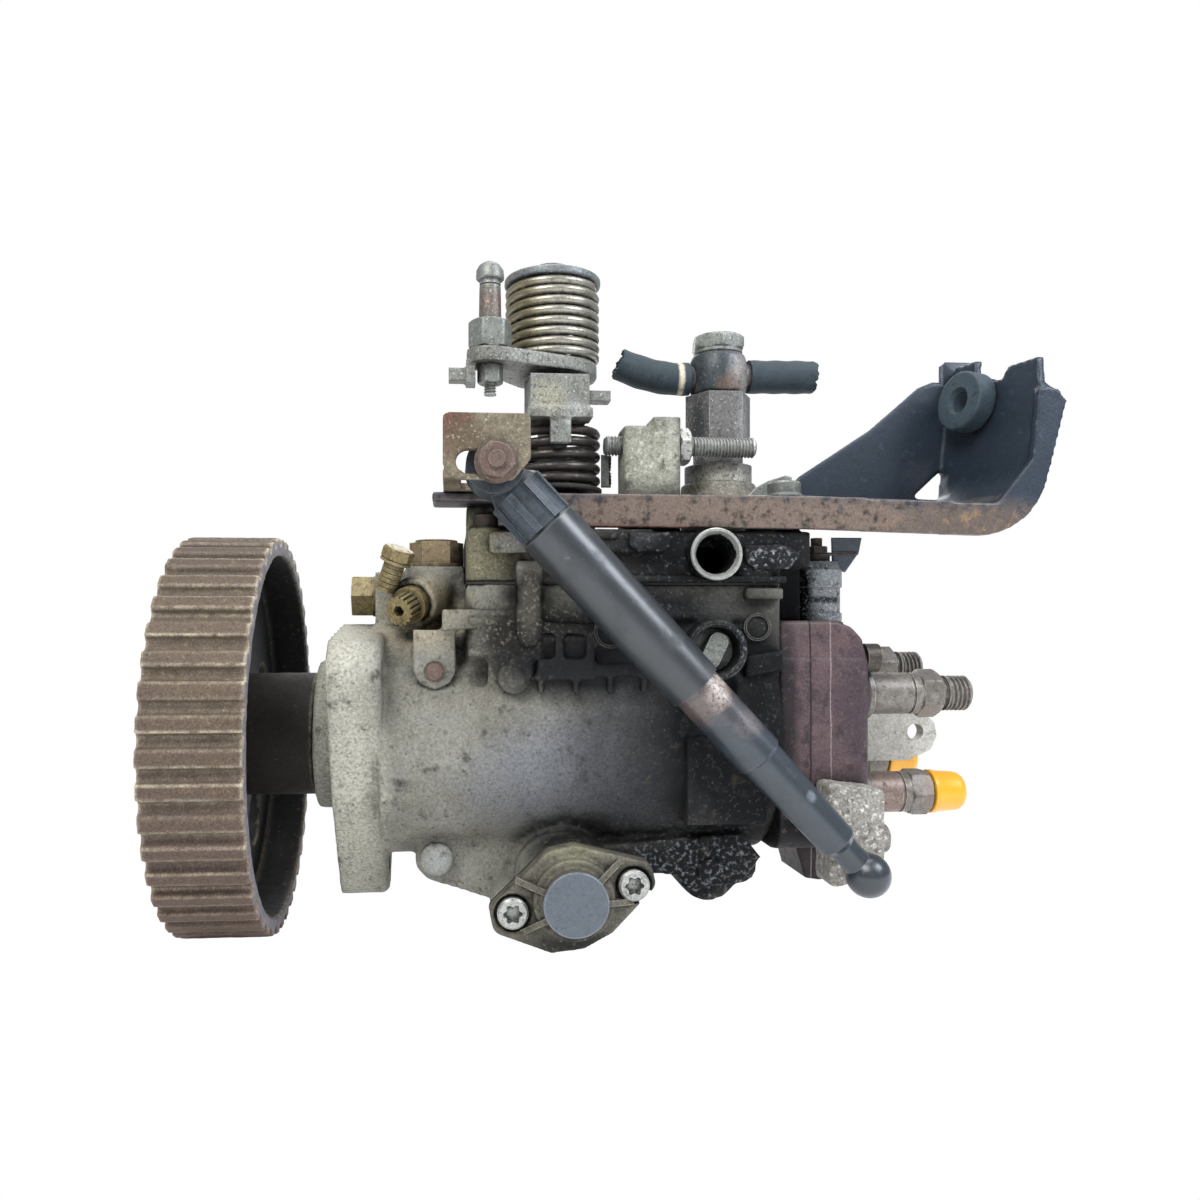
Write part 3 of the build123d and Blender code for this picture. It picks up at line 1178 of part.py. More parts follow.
eye_half = 7.5
pivot_head_y = slot_plate_y
with BuildPart() as bracket_bolts:
    for x, y, seat_z in (
        (bracket_bolt_x, bracket_bolt_y, bracket_top_z),
        (left_bolt_x, left_bolt_y, bracket_top_z + slot_plate_thickness),
    ):
        disc(level(seat_z, x, y), 6.4, 1.4)
        disc(level(seat_z + 1.4, x, y), 5.0, 4.0)
        disc(level(seat_z, x, y), 3.0, cover_top_z - 1 - seat_z)
    disc(facing_front(pivot_head_y, strut_pivot_x, strut_pivot_z), 5.4, 1.6)
    hexagon(facing_front(pivot_head_y - 1.6, strut_pivot_x, strut_pivot_z), 8.0, 4.6)
    disc(facing_front(strut_y + eye_half + 0.5, strut_pivot_x, strut_pivot_z), 3.0, strut_y + eye_half + 0.5 - pivot_head_y)
    hexagon(facing_front(strut_y + eye_half + 4.3, strut_pivot_x, strut_pivot_z), 9.0, 3.8)
bracket_bolts.part.label = "bracket_bolts"
export_step(bracket_bolts.part, "parts/bracket_bolts.step")

# Strut: plastic socket on the pivot bolt, sleeve, and the tube that slides in it
slope = radians(strut_slope)
strut_way = Vector(cos(slope), 0, -sin(slope))
strut_plane = Plane(origin=(strut_pivot_x, strut_y, strut_pivot_z), x_dir=(0, -1, 0), z_dir=strut_way)
with BuildPart() as strut_socket:
    disc(facing_front(strut_y + eye_half, strut_pivot_x, strut_pivot_z), 8.2, 2 * eye_half)
    turned(strut_plane, [(5, 0), (5, 6.2), (9, 7.8), (strut_socket_end, 8.4), (strut_socket_end, 0)])
    for number in range(8):
        with BuildSketch(strut_plane.offset(9)) as rib:
            with PolarLocations(8.0, 1, 45 * number + 22.5):
                Rectangle(1.8, 2.2)
        extrude(rib.sketch, amount=strut_socket_end - 9)
    disc(facing_front(strut_y + 20, strut_pivot_x, strut_pivot_z), 3.0 + run_gap, 40, Mode.SUBTRACT)
strut_socket.part.label = "strut_socket"
export_step(strut_socket.part, "parts/strut_socket.step")

tube_hidden = 44.0
strut_travel = 18.0      # room in the sleeve's bore behind the tube
with BuildPart() as strut_sleeve:
    turned(
        strut_plane,
        [(strut_socket_end, 0), (strut_socket_end, strut_sleeve_r - 1.0), (strut_socket_end + 1, strut_sleeve_r),
         (strut_sleeve_end, strut_sleeve_r - 0.8), (strut_sleeve_end, 0)],
    )
    disc(strut_plane.offset(strut_sleeve_end - tube_hidden - strut_travel), strut_tube_r + run_gap, tube_hidden + strut_travel + 1, Mode.SUBTRACT)
strut_sleeve.part.label = "strut_sleeve"
export_step(strut_sleeve.part, "parts/strut_sleeve.step")

with BuildPart() as strut_tube:
    turned(
        strut_plane,
        [(strut_sleeve_end - tube_hidden, 0), (strut_sleeve_end - tube_hidden, strut_tube_r), (strut_tube_end, strut_tube_r),
         (strut_tube_end + 0.8, strut_rod_r), (strut_neck_start - 2, strut_rod_r - 0.9), (strut_neck_start, 4.2),
         (strut_length, 4.2), (strut_length, 0)],
    )
    with Locations(strut_plane.offset(strut_length)):
        Sphere(strut_ball_r)
    disc(facing_front(strut_y + 8, strut_plane.offset(strut_length).origin.X, strut_plane.offset(strut_length).origin.Z), strut_stud_r, 9.5, Mode.SUBTRACT)
strut_tube.part.label = "strut_tube"
export_step(strut_tube.part, "parts/strut_tube.step")

# Throttle lever stack on its upright shaft
shaft_low_z = cover_top_z - cover_wall - 3.0
plate_top_z = lever_plate_z + lever_plate_thickness
block_low_z = 103.0
with BuildPart() as throttle_shaft:
    disc(level(shaft_low_z, lever_axis_x, lever_axis_y), lever_shaft_r, cap_disc_z - shaft_low_z)
    disc(level(shaft_low_z - 4, lever_axis_x + 2.6, lever_axis_y), 2.0, 4.5)
throttle_shaft.part.label = "throttle_shaft"
export_step(throttle_shaft.part, "parts/throttle_shaft.step")

with BuildPart() as throttle_lever:
    with BuildSketch(level(lever_plate_z)) as plate_outline:
        with Locations((lever_axis_x, lever_axis_y)):
            Circle(15.0)
        with Locations((lever_stud_x, lever_stud_y)):
            Circle(7.5)
        make_hull()
    extrude(amount=lever_plate_thickness)
    disc(level(block_low_z, lever_axis_x, lever_axis_y), 9.5, lever_plate_z - block_low_z)
    block((62.0, -27.0, block_low_z), (81.0, -4.0, 117.0))
    block((61.0, -28.0, block_low_z), (82.0, -18.0, block_low_z + 3.4))
    block((68.3, -27.5, 94.6), (75.0, -25.0, block_low_z + 1))
    block((78.0, -14.0, 111.5), (90.0, -8.0, 115.0))
    block((36.0, -27.5, 114.0), (44.0, -22.5, 118.0))
    block((41.5, -28.5, 113.0), (44.5, -21.5, lever_plate_z + 1))
    disc(level(block_low_z - 1, lever_axis_x, lever_axis_y), lever_shaft_r + seat_gap, 40, Mode.SUBTRACT)
    disc(level(lever_plate_z - 1, lever_stud_x, lever_stud_y), 3.0 + seat_gap, 10, Mode.SUBTRACT)
throttle_lever.part.label = "throttle_lever"
export_step(throttle_lever.part, "parts/throttle_lever.step")

with BuildPart() as lever_stud:
    hexagon(level(plate_top_z, lever_stud_x, lever_stud_y), 12.5, 9.5)
    turned(
        level(0, lever_stud_x, lever_stud_y),
        [(plate_top_z + 9, 0), (plate_top_z + 9, 3.6), (stud_top_z - 6.2, 3.3), (stud_top_z - 6.0, 4.3),
         (stud_top_z - 3.4, 4.5), (stud_top_z - 1.2, 3.6), (stud_top_z, 1.6), (stud_top_z, 0)],
    )
    disc(level(110.0, lever_stud_x, lever_stud_y), 3.0, plate_top_z - 110.0 + 0.5)
    hexagon(level(lever_plate_z - 6.0, lever_stud_x, lever_stud_y), 7.4, 6.0)
lever_stud.part.label = "lever_stud"
export_step(lever_stud.part, "parts/lever_stud.step")

with BuildPart() as spring_cap:
    disc(level(cap_disc_z, lever_axis_x, lever_axis_y), cap_disc_r, 2.6)
    fillet(spring_cap.edges(), 0.8)
    hexagon(level(cap_disc_z + 2.6, lever_axis_x, lever_axis_y), 13.0, 3.4)
    disc(level(cap_disc_z + 6.0, lever_axis_x, lever_axis_y), 5.8, 0.8)
    ring(level(cap_disc_z - 6.0, lever_axis_x, lever_axis_y), 12.9, 9.0, 6.0)
spring_cap.part.label = "spring_cap"
export_step(spring_cap.part, "parts/spring_cap.step")

upper_low_z = plate_top_z + upper_wire_r + seat_gap
with BuildPart() as upper_spring:
    helical_spring((lever_axis_x, lever_axis_y, upper_low_z), (0, 0, 1), stack_spring_r, upper_wire_r,
                   cap_disc_z - upper_wire_r - seat_gap - upper_low_z, upper_spring_turns)
upper_spring.part.label = "upper_spring"
export_step(upper_spring.part, "parts/upper_spring.step")

lower_low_z = lever_tower_z + lower_wire_r + seat_gap
with BuildPart() as lower_spring:
    helical_spring((lever_axis_x, lever_axis_y, lower_low_z), (0, 0, 1), stack_spring_r, lower_wire_r,
                   block_low_z - lower_wire_r - part_gap - lower_low_z, lower_spring_turns)
lower_spring.part.label = "lower_spring"
export_step(lower_spring.part, "parts/lower_spring.step")

# Adjusting screw with its lock nut
with BuildPart() as adjusting_screw:
    disc(across_x(adjuster_left_x, adjuster_y, adjuster_z), adjuster_r, adjuster_right_x - adjuster_left_x)
    chamfer(adjusting_screw.edges(), 0.6)
    hexagon(across_x(post_right_x, adjuster_y, adjuster_z), 11.0, 4.0)
adjusting_screw.part.label = "adjusting_screw"
export_step(adjusting_screw.part, "parts/adjusting_screw.step")

# Banjo union of the return line
with BuildPart() as overflow_adaptor:
    disc(level(overflow_tower_z, overflow_x, 0), 11.6, 6.0)
    disc(level(overflow_tower_z + 6, overflow_x, 0), 8.6, 6.8)
    hexagon(level(overflow_tower_z + 12.8, overflow_x, 0), adaptor_across, banjo_low_z - overflow_tower_z - 12.8)
    disc(level(overflow_tower_z - 10, overflow_x, 0), 6.0, 10.5)
    disc(level(banjo_low_z + 1, overflow_x, 0), 5.5, -14, Mode.SUBTRACT)
overflow_adaptor.part.label = "overflow_adaptor"
export_step(overflow_adaptor.part, "parts/overflow_adaptor.step")

banjo_middle_z = 124.2
hose_bend_x = 111.0
with BuildPart() as banjo_fitting:
    turned(
        level(0, overflow_x, 0),
        [(banjo_low_z, 0), (banjo_low_z, 8.4), (banjo_low_z + 1.5, 9.4), (banjo_low_z + 4.5, banjo_r),
         (banjo_high_z - 4.5, banjo_r), (banjo_high_z - 1.5, 9.4), (banjo_high_z, 8.4), (banjo_high_z, 0)],
    )
    disc(across_x(hose_bend_x, 0, banjo_middle_z - 1.0), 3.4, overflow_x - hose_bend_x)
    disc(across_x(overflow_x, 0, banjo_middle_z), 3.4, 24)
    disc(level(banjo_low_z - 1, overflow_x, 0), 5.5 + seat_gap, 20, Mode.SUBTRACT)
banjo_fitting.part.label = "banjo_fitting"
export_step(banjo_fitting.part, "parts/banjo_fitting.step")

with BuildPart() as banjo_bolt:
    disc(level(banjo_low_z - 12, overflow_x, 0), 5.5 - seat_gap, banjo_high_z - banjo_low_z + 12)
    disc(level(banjo_high_z, overflow_x, 0), 9.6, 1.2)
    hexagon(level(banjo_high_z + 1.2, overflow_x, 0), 16.5, 5.2)
banjo_bolt.part.label = "banjo_bolt"
export_step(banjo_bolt.part, "parts/banjo_bolt.step")

with BuildPart() as return_hoses:
    with BuildSketch(across_x(overflow_x - banjo_r - 0.5, 0, banjo_middle_z - 1.0)) as hose_ring:
        Circle(stub_r)
        Circle(3.4 + seat_gap, mode=Mode.SUBTRACT)
    with BuildLine(Plane.XZ) as hose_path:
        hose_run = Line((overflow_x - banjo_r - 0.5, banjo_middle_z - 1.0), (hose_bend_x, banjo_middle_z - 1.0))
        TangentArc(hose_run @ 1, (97.5, 128.5), tangent=hose_run % 1)
    sweep(hose_ring.sketch, path=hose_path.line)
    ring(across_x(overflow_x + banjo_r + 0.5, 0, banjo_middle_z), stub_r, 3.4 + seat_gap, 24.8)
return_hoses.part.label = "return_hoses"
export_step(return_hoses.part, "parts/return_hoses.step")
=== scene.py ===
import bmesh
import bpy
import numpy as np
from math import cos, pi, radians, sin
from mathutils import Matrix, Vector


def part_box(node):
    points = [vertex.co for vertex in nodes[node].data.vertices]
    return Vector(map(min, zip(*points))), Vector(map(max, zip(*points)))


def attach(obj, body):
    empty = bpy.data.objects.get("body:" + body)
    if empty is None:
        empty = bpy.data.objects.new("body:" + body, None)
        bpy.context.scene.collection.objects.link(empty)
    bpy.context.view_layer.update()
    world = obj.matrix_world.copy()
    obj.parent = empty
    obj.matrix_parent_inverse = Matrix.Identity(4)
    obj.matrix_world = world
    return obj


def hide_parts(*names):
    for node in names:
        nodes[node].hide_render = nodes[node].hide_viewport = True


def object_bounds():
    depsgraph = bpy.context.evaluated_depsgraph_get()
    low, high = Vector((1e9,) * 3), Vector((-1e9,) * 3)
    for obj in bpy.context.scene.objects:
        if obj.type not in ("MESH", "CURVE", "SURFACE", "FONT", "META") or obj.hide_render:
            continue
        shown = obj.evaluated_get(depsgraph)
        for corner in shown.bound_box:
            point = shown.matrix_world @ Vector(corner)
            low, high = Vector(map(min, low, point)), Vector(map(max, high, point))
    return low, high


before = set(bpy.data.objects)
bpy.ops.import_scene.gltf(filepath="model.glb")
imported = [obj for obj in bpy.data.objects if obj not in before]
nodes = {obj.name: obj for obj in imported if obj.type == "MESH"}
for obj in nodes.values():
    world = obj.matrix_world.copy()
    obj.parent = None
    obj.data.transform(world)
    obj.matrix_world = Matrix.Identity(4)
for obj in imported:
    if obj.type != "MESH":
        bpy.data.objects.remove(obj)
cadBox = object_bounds()
mm = 0.001
print("frame loaded:", len(nodes), "nodes")


# Colours: an sRGB hex value turned to the linear colour that the shaders use
def linear(code):
    parts = [int(code[k:k + 2], 16) / 255 for k in (1, 3, 5)]
    return tuple(p / 12.92 if p <= 0.04045 else ((p + 0.055) / 1.055) ** 2.4 for p in parts) + (1.0,)


# Adds one node: its settings, the stops of a ramp, and what feeds each input
def add(tree, kind, feeds=None, stops=None, **settings):
    node = tree.nodes.new("ShaderNode" + kind)
    for key, value in settings.items():
        setattr(node, key, value)
    if stops:
        ramp = node.color_ramp
        while len(ramp.elements) < len(stops):
            ramp.elements.new(0.5)
        for element, (place, tone) in zip(ramp.elements, stops):
            element.position = place
            element.color = tone if isinstance(tone, tuple) else (tone, tone, tone, 1)
    for key, value in (feeds or {}).items():
        if isinstance(value, bpy.types.NodeSocket):
            tree.links.new(value, node.inputs[key])
        else:
            node.inputs[key].default_value = value
    return node


# Patches of one colour over what lies below: noise of that size in mm, cut so that about
# the share given is covered, with soft rims
def patches(tree, place, below, colour, sizeMm, share, rim=0.06, strength=1.0, drift=0.0, only=None):
    cloud = add(tree, "TexNoise", {"Vector": place, "Scale": 1 / (sizeMm * mm), "Detail": 7.0,
                                   "Roughness": 0.62, "W": drift},
                noise_dimensions="4D")
    cut = 0.5 + (0.5 - share) * 0.42
    mask = add(tree, "MapRange", {"Value": cloud.outputs[0], "From Min": cut - rim, "From Max": cut + rim,
                                  "To Max": strength}).outputs[0]
    if only is not None:
        mask = add(tree, "Math", {0: mask, 1: only}, operation="MULTIPLY").outputs[0]
    mixed = add(tree, "Mix", {0: mask, 6: below, 7: colour}, data_type="RGBA").outputs[2]
    return mixed, mask


# A soft region round a point: 1 at the middle, 0 at the radius, with a ragged rim
def region(tree, place, centreMm, radiusMm, ragged=0.25, stretch=(1, 1, 1)):
    ruffle = add(tree, "TexNoise", {"Vector": place, "Scale": 1 / (0.45 * radiusMm * mm), "Detail": 5.0})
    shifted = add(tree, "VectorMath", {0: place, 1: tuple(c * mm for c in centreMm)},
                  operation="SUBTRACT").outputs[0]
    scaled = add(tree, "VectorMath", {0: shifted, 1: tuple(1 / s for s in stretch)},
                 operation="MULTIPLY").outputs[0]
    away = add(tree, "VectorMath", {0: scaled}, operation="LENGTH").outputs["Value"]
    uneven = add(tree, "Math", {0: ruffle.outputs[0], 1: radiusMm * mm * ragged * 2, 2: away},
                 operation="MULTIPLY_ADD").outputs[0]
    return add(tree, "MapRange", {"Value": uneven, "From Min": radiusMm * mm * (1 + ragged),
                                  "From Max": radiusMm * mm * 0.7}).outputs[0]


# A finish that has seen use: two tones of the surface, coloured spots at set places, layers
# of dirt that dull the shine, painted shade and grime in the crevices, rubbed edges, grit, and a grain
# that the bump follows. Marks of turned, ground and plated metal are finer than the render shows, so
# their finest grain is drawn at 0.4 to 0.5 mm
def wornFinish(name, look):
    made = bpy.data.materials.new(name)
    made.use_nodes = True
    tree = made.node_tree
    shader = tree.nodes["Principled BSDF"]
    place = add(tree, "TexCoord").outputs["Object"]
    tone, _ = patches(tree, place, linear(look["tones"][0]), linear(look["tones"][1]),
                      look.get("toneMm", 9), 0.5, rim=0.22)
    cover = None
    for number, spot in enumerate(look.get("spots", [])):
        where = region(tree, place, spot[0], spot[1], stretch=spot[4] if len(spot) > 4 else (1, 1, 1))
        weight = add(tree, "Math", {0: where, 1: spot[3]}, operation="MULTIPLY").outputs[0]
        colour = linear(spot[2])
        if len(spot) > 5:
            colour, _ = patches(tree, place, colour, linear(spot[5][0]), spot[5][1], spot[5][2],
                                strength=0.85, drift=0.9 * number)
        tone = add(tree, "Mix", {0: weight, 6: tone, 7: colour}, data_type="RGBA").outputs[2]
    if "streak" in look:
        colour, stretch, strength = look["streak"]
        drawn = add(tree, "Mapping", {"Vector": place, "Scale": stretch}).outputs[0]
        tone, _ = patches(tree, drawn, tone, linear(colour), 4.0, 0.45, rim=0.12, strength=strength)
    for number, (colour, sizeMm, share, strength) in enumerate(look.get("dirt", [])):
        tone, mask = patches(tree, place, tone, linear(colour), sizeMm, share, strength=strength,
                             drift=1.7 * number + look.get("seed", 0))
        cover = mask if cover is None else add(tree, "Math", {0: cover, 1: mask},
                                               operation="MAXIMUM").outputs[0]
    if "byRadius" in look or "endTone" in look:
        flat = add(tree, "VectorMath", {0: place, 1: (0.0, 1.0, 1.0)}, operation="MULTIPLY").outputs[0]
        radius = add(tree, "VectorMath", {0: flat}, operation="LENGTH").outputs["Value"]
    for edgeMm, softMm, colour, strength in look.get("byRadius", []):
        within = add(tree, "MapRange", {"Value": radius, "From Min": (edgeMm + softMm) * mm,
                                        "From Max": (edgeMm - softMm) * mm, "To Max": strength}).outputs[0]
        tone, _ = patches(tree, place, tone, linear(colour), 2.0, 0.97, rim=0.12, only=within)
    if "endTone" in look:
        colour, fromMm, strength = look["endTone"]
        facing = add(tree, "SeparateXYZ", {0: add(tree, "NewGeometry").outputs["Normal"]}).outputs[0]
        ends = add(tree, "MapRange", {"Value": facing, "From Min": 0.6, "From Max": 0.9,
                                      "To Max": strength}).outputs[0]
        outer = add(tree, "Math", {0: radius, 1: fromMm * mm}, operation="GREATER_THAN").outputs[0]
        tone, _ = patches(tree, place, tone, linear(colour), 1.5, 0.9, rim=0.2,
                          only=add(tree, "Math", {0: ends, 1: outer}, operation="MULTIPLY").outputs[0])
    for atMm, widthMm, colour, strength in look.get("seams", []):
        bent = add(tree, "TexNoise", {"Vector": place, "Scale": 60.0, "Detail": 3.0}).outputs[0]
        along = add(tree, "SeparateXYZ", {0: place}).outputs[0]
        off = add(tree, "Math", {0: bent, 1: 1.6 * mm, 2: along}, operation="MULTIPLY_ADD").outputs[0]
        off = add(tree, "Math", {0: off, 1: (atMm + 0.8) * mm}, operation="SUBTRACT").outputs[0]
        off = add(tree, "Math", {0: off}, operation="ABSOLUTE").outputs[0]
        line = add(tree, "MapRange", {"Value": off, "From Min": widthMm * mm,
                                      "From Max": 0.2 * widthMm * mm, "To Max": strength}).outputs[0]
        tone = add(tree, "Mix", {0: line, 6: tone, 7: linear(colour)}, data_type="RGBA").outputs[2]
    # Painted shade and grime: the crevice colour goes where ambient occlusion finds corners and recesses
    if "creviceShadeAndGrime" in look:
        colour, reachMm, strength = look["creviceShadeAndGrime"]
        shade = add(tree, "AmbientOcclusion", {"Distance": reachMm * mm}, samples=6).outputs["AO"]
        deep = add(tree, "MapRange", {"Value": shade, "From Min": 0.92, "From Max": 0.45,
                                      "To Max": strength}).outputs[0]
        tone, mask = patches(tree, place, tone, linear(colour), 2.2, 0.75, rim=0.2, only=deep, drift=9.0)
        cover = mask if cover is None else add(tree, "Math", {0: cover, 1: mask},
                                               operation="MAXIMUM").outputs[0]
    metal = look.get("metallic", 0.0)
    rough = look.get("rough", 0.6)
    shader.inputs["Specular IOR Level"].default_value = look.get("gloss", 0.5)
    if "edge" in look:
        colour, widthMm, strength = look["edge"]
        rounded = add(tree, "Bevel", {"Radius": widthMm * mm}, samples=4).outputs[0]
        flat = add(tree, "NewGeometry").outputs["Normal"]
        same = add(tree, "VectorMath", {0: rounded, 1: flat}, operation="DOT_PRODUCT").outputs["Value"]
        dull, full = look.get("edgeAt", (0.985, 0.90))
        rub = add(tree, "MapRange", {"Value": same, "From Min": dull, "From Max": full,
                                     "To Max": strength}).outputs[0]
        worn = linear(colour)
        if "edgeOver" in look:
            lowMm, highMm, lowerTone = look["edgeOver"]
            tall = add(tree, "SeparateXYZ", {0: place}).outputs[2]
            above = add(tree, "MapRange", {"Value": tall, "From Min": lowMm * mm,
                                           "From Max": highMm * mm}).outputs[0]
            worn = add(tree, "Mix", {0: above, 6: linear(lowerTone), 7: worn}, data_type="RGBA").outputs[2]
        tone, _ = patches(tree, place, tone, worn, 3.0, 0.6, rim=0.15, only=rub,
                          drift=4.0)
    if cover is not None:
        shader.inputs["Metallic"].default_value = metal
        tree.links.new(add(tree, "MapRange", {"Value": cover, "To Min": metal,
                                              "To Max": metal * 0.25}).outputs[0],
                                              shader.inputs["Metallic"])
        tree.links.new(add(tree, "MapRange", {"Value": cover, "To Min": rough,
                                              "To Max": look.get("dirtRough", 0.8)}).outputs[0],
                                              shader.inputs["Roughness"])
    else:
        shader.inputs["Metallic"].default_value = metal
        shader.inputs["Roughness"].default_value = rough
    # Grit: a fine grain of lighter and darker points over everything
    sizeMm, strength = look.get("grit", (0.7, 0.3))
    grit = add(tree, "TexNoise", {"Vector": place, "Scale": 1 / (sizeMm * mm), "Detail": 3.0,
                                  "Roughness": 0.7}).outputs[0]
    level = add(tree, "MapRange", {"Value": grit, "From Min": 0.3, "From Max": 0.7, "To Min": 1 - strength,
                                   "To Max": 1 + strength}).outputs[0]
    tone = add(tree, "VectorMath", {0: tone, 1: level}, operation="MULTIPLY").outputs[0]
    tree.links.new(tone, shader.inputs["Base Color"])
    height = None
    for sizeMm, depthMm in look.get("grain", []):
        grain = add(tree, "TexNoise", {"Vector": place, "Scale": 1 / (sizeMm * mm), "Detail": 4.0,
                                       "Roughness": 0.6}).outputs[0]
        part = add(tree, "Math", {0: grain, 1: depthMm * mm}, operation="MULTIPLY").outputs[0]
        height = part if height is None else add(tree, "Math", {0: height, 1: part},
                                                 operation="ADD").outputs[0]
    if height is not None:
        bump = add(tree, "Bump", {"Height": height, "Strength": 1.0, "Distance": 1.0})
        tree.links.new(bump.outputs[0], shader.inputs["Normal"])
    return made


# Looks by material name. Each lists the CAD nodes that it dresses, if any, two tones of the bare
# surface, spots as (centre, radius, colour, strength, stretch, patches), layers of dirt as
# (colour, size, share, strength), painted crevice shade with grime and rubbed edges as (colour, reach,
# strength)
looks = {}
# Cast aluminium: sand-cast grain, grey where wiped, soaked with black oil towards the outlets
looks["sandCastAluminium"] = dict(
    nodes=("pump_housing",),
    tones=("#84837b", "#6a675c"), toneMm=14, metallic=0.12, rough=0.62, dirtRough=0.7, gloss=0.18,
    spots=[
        ((5, 0, 0), 60, "#aaa99c", 0.95, (0.24, 1.6, 1.6), ("#7f7966", 0.9, 0.34)),
        ((28, -26, 40), 22, "#98907a", 0.9, (1, 1, 0.8), ("#b5ac92", 1.2, 0.25)),
        ((76, -40, -12), 38, "#6a6c70", 0.9, (1.2, 1, 0.7), ("#6c6d6c", 3.0, 0.3)),
        ((66, -39, 31), 27, "#25241f", 1.0, (1.3, 1, 0.7), ("#7b776c", 1.2, 0.28)),
        ((60, -42, 46), 12, "#0d0c0a", 1.0, (0.9, 1, 0.7)),
        ((60.4, -44, 44), 11, "#4b4840", 0.95, (0.36, 0.4, 1.3), ("#85827a", 1.1, 0.3)),
        ((98, -40, 34), 30, "#0d0e10", 1.0, (1.1, 1.2, 0.8), ("#63676a", 1.1, 0.22)),
        ((96, -38, -6), 44, "#3a3b3e", 0.85, (0.75, 1.2, 1.1)),
        ((78, -41, 24), 24, "#17181a", 0.95, (1.5, 1.2, 0.6)),
        ((128, -34, 2), 68, "#07090a", 1.0, (0.62, 1.2, 1.1), ("#4c5258", 1.2, 0.16)),
        ((112, -18, -42), 34, "#090b0c", 1.0, (1.3, 1.5, 0.55), ("#71767a", 1.5, 0.32)),
        ((150, -9, 48), 24, "#0b0d0f", 1.0),
        ((80, -44, -30), 18, "#12110f", 0.98, (1.7, 1.4, 0.55), ("#6a675c", 1.3, 0.22)),
        ((31.7, -37.6, 22.3), 3.6, "#7d655a", 0.98, (1, 0.5, 1)),
        ((32.2, -27, -37.6), 6.5, "#8d908d", 0.8, (1, 0.4, 1)),
        ((119.2, -45.5, 29), 10.5, "#25282a", 0.9, (1, 0.2, 1), ("#8f9496", 1.0, 0.3)),
    ],
    dirt=[("#2b2a26", 6.0, 0.20, 0.7), ("#6a6350", 3.2, 0.14, 0.25), ("#101213", 1.4, 0.16, 0.75)],
    creviceShadeAndGrime=("#0b0a09", 7.0, 1.0), edge=("#a9a79e", 1.0, 0.45), edgeAt=(0.9, 0.6), grit=(0.9, 0.3),
    grain=[(0.9, 0.11), (0.35, 0.05), (4.0, 0.2)],
)
# The same casting on the cover: near black with baked oil, in pale patches on its left end and top
looks["sandCastAluminiumOiled"] = dict(
    nodes=("governor_cover",),
    tones=("#3b3a36", "#2b2a27"), toneMm=12, metallic=0.12, rough=0.6, dirtRough=0.7, gloss=0.18,
    spots=[
        ((46, -39, 60), 15, "#77735c", 0.9, (1, 1, 1), ("#a19c83", 1.3, 0.25)),
        ((55, -43, 61.5), 9, "#7f7d76", 0.85, (1, 1, 0.5), ("#b0afa8", 1.0, 0.25)),
        ((97.5, -43, 62), 7, "#5a5d5e", 0.9, (1, 0.3, 0.5), ("#aeb1b2", 1.0, 0.25)),
        ((124, -40, 60), 48, "#090b0d", 1.0, (1, 1, 0.6), ("#6b7074", 1.2, 0.2)),
        ((136, -41, 57), 10, "#17191b", 0.95, (1, 0.5, 0.5), ("#a0a4a6", 1.3, 0.3)),
        ((130.4, 0, 80), 22, "#9b9587", 0.97, (1, 1, 0.55), ("#c4bfb1", 1.4, 0.3)),
        ((102, -15, 92), 19, "#8e8f80", 0.97, (1, 1, 1), ("#b6b5a6", 1.8, 0.3)),
        ((109, -15, 95), 8, "#a6a59a", 0.9, (0.5, 1.4, 2.2)),
        ((71, -8, 76), 20, "#35322b", 0.8),
    ],
    dirt=[("#1a1916", 5.0, 0.22, 0.6), ("#746b55", 2.4, 0.12, 0.3), ("#0e1012", 1.4, 0.16, 0.7)],
    creviceShadeAndGrime=("#090807", 7.0, 1.0), edge=("#9a988f", 1.0, 0.5), edgeAt=(0.9, 0.6), seed=3.0,
    grit=(0.7, 0.42),
    grain=[(0.9, 0.16), (0.35, 0.07), (4.0, 0.2)],
)
# Die-cast aluminium: smoother than the housing, with painted shade and grime in its corners
looks["dieCastAluminium"] = dict(
    nodes=("timing_covers",),
    tones=("#605d52", "#4b483e"), toneMm=6, metallic=0.2, rough=0.55, gloss=0.25,
    spots=[((72, -60, -57), 13, "#1b1b19", 0.9, (1.6, 1, 0.5)),
           ((72, -60, -29), 9, "#77745f", 0.7, (1.6, 1, 0.6)),
           ((94, -60, -38), 9, "#2b2c2c", 0.8, (0.8, 1, 1))],
    dirt=[("#2c2a23", 4.0, 0.30, 0.75), ("#85806c", 2.0, 0.22, 0.5)],
    creviceShadeAndGrime=("#0e0d0b", 5.0, 1.0), edge=("#b0ada0", 0.8, 0.8), edgeAt=(0.9, 0.65), grit=(0.6, 0.36),
    grain=[(0.7, 0.1), (3.0, 0.1)],
)
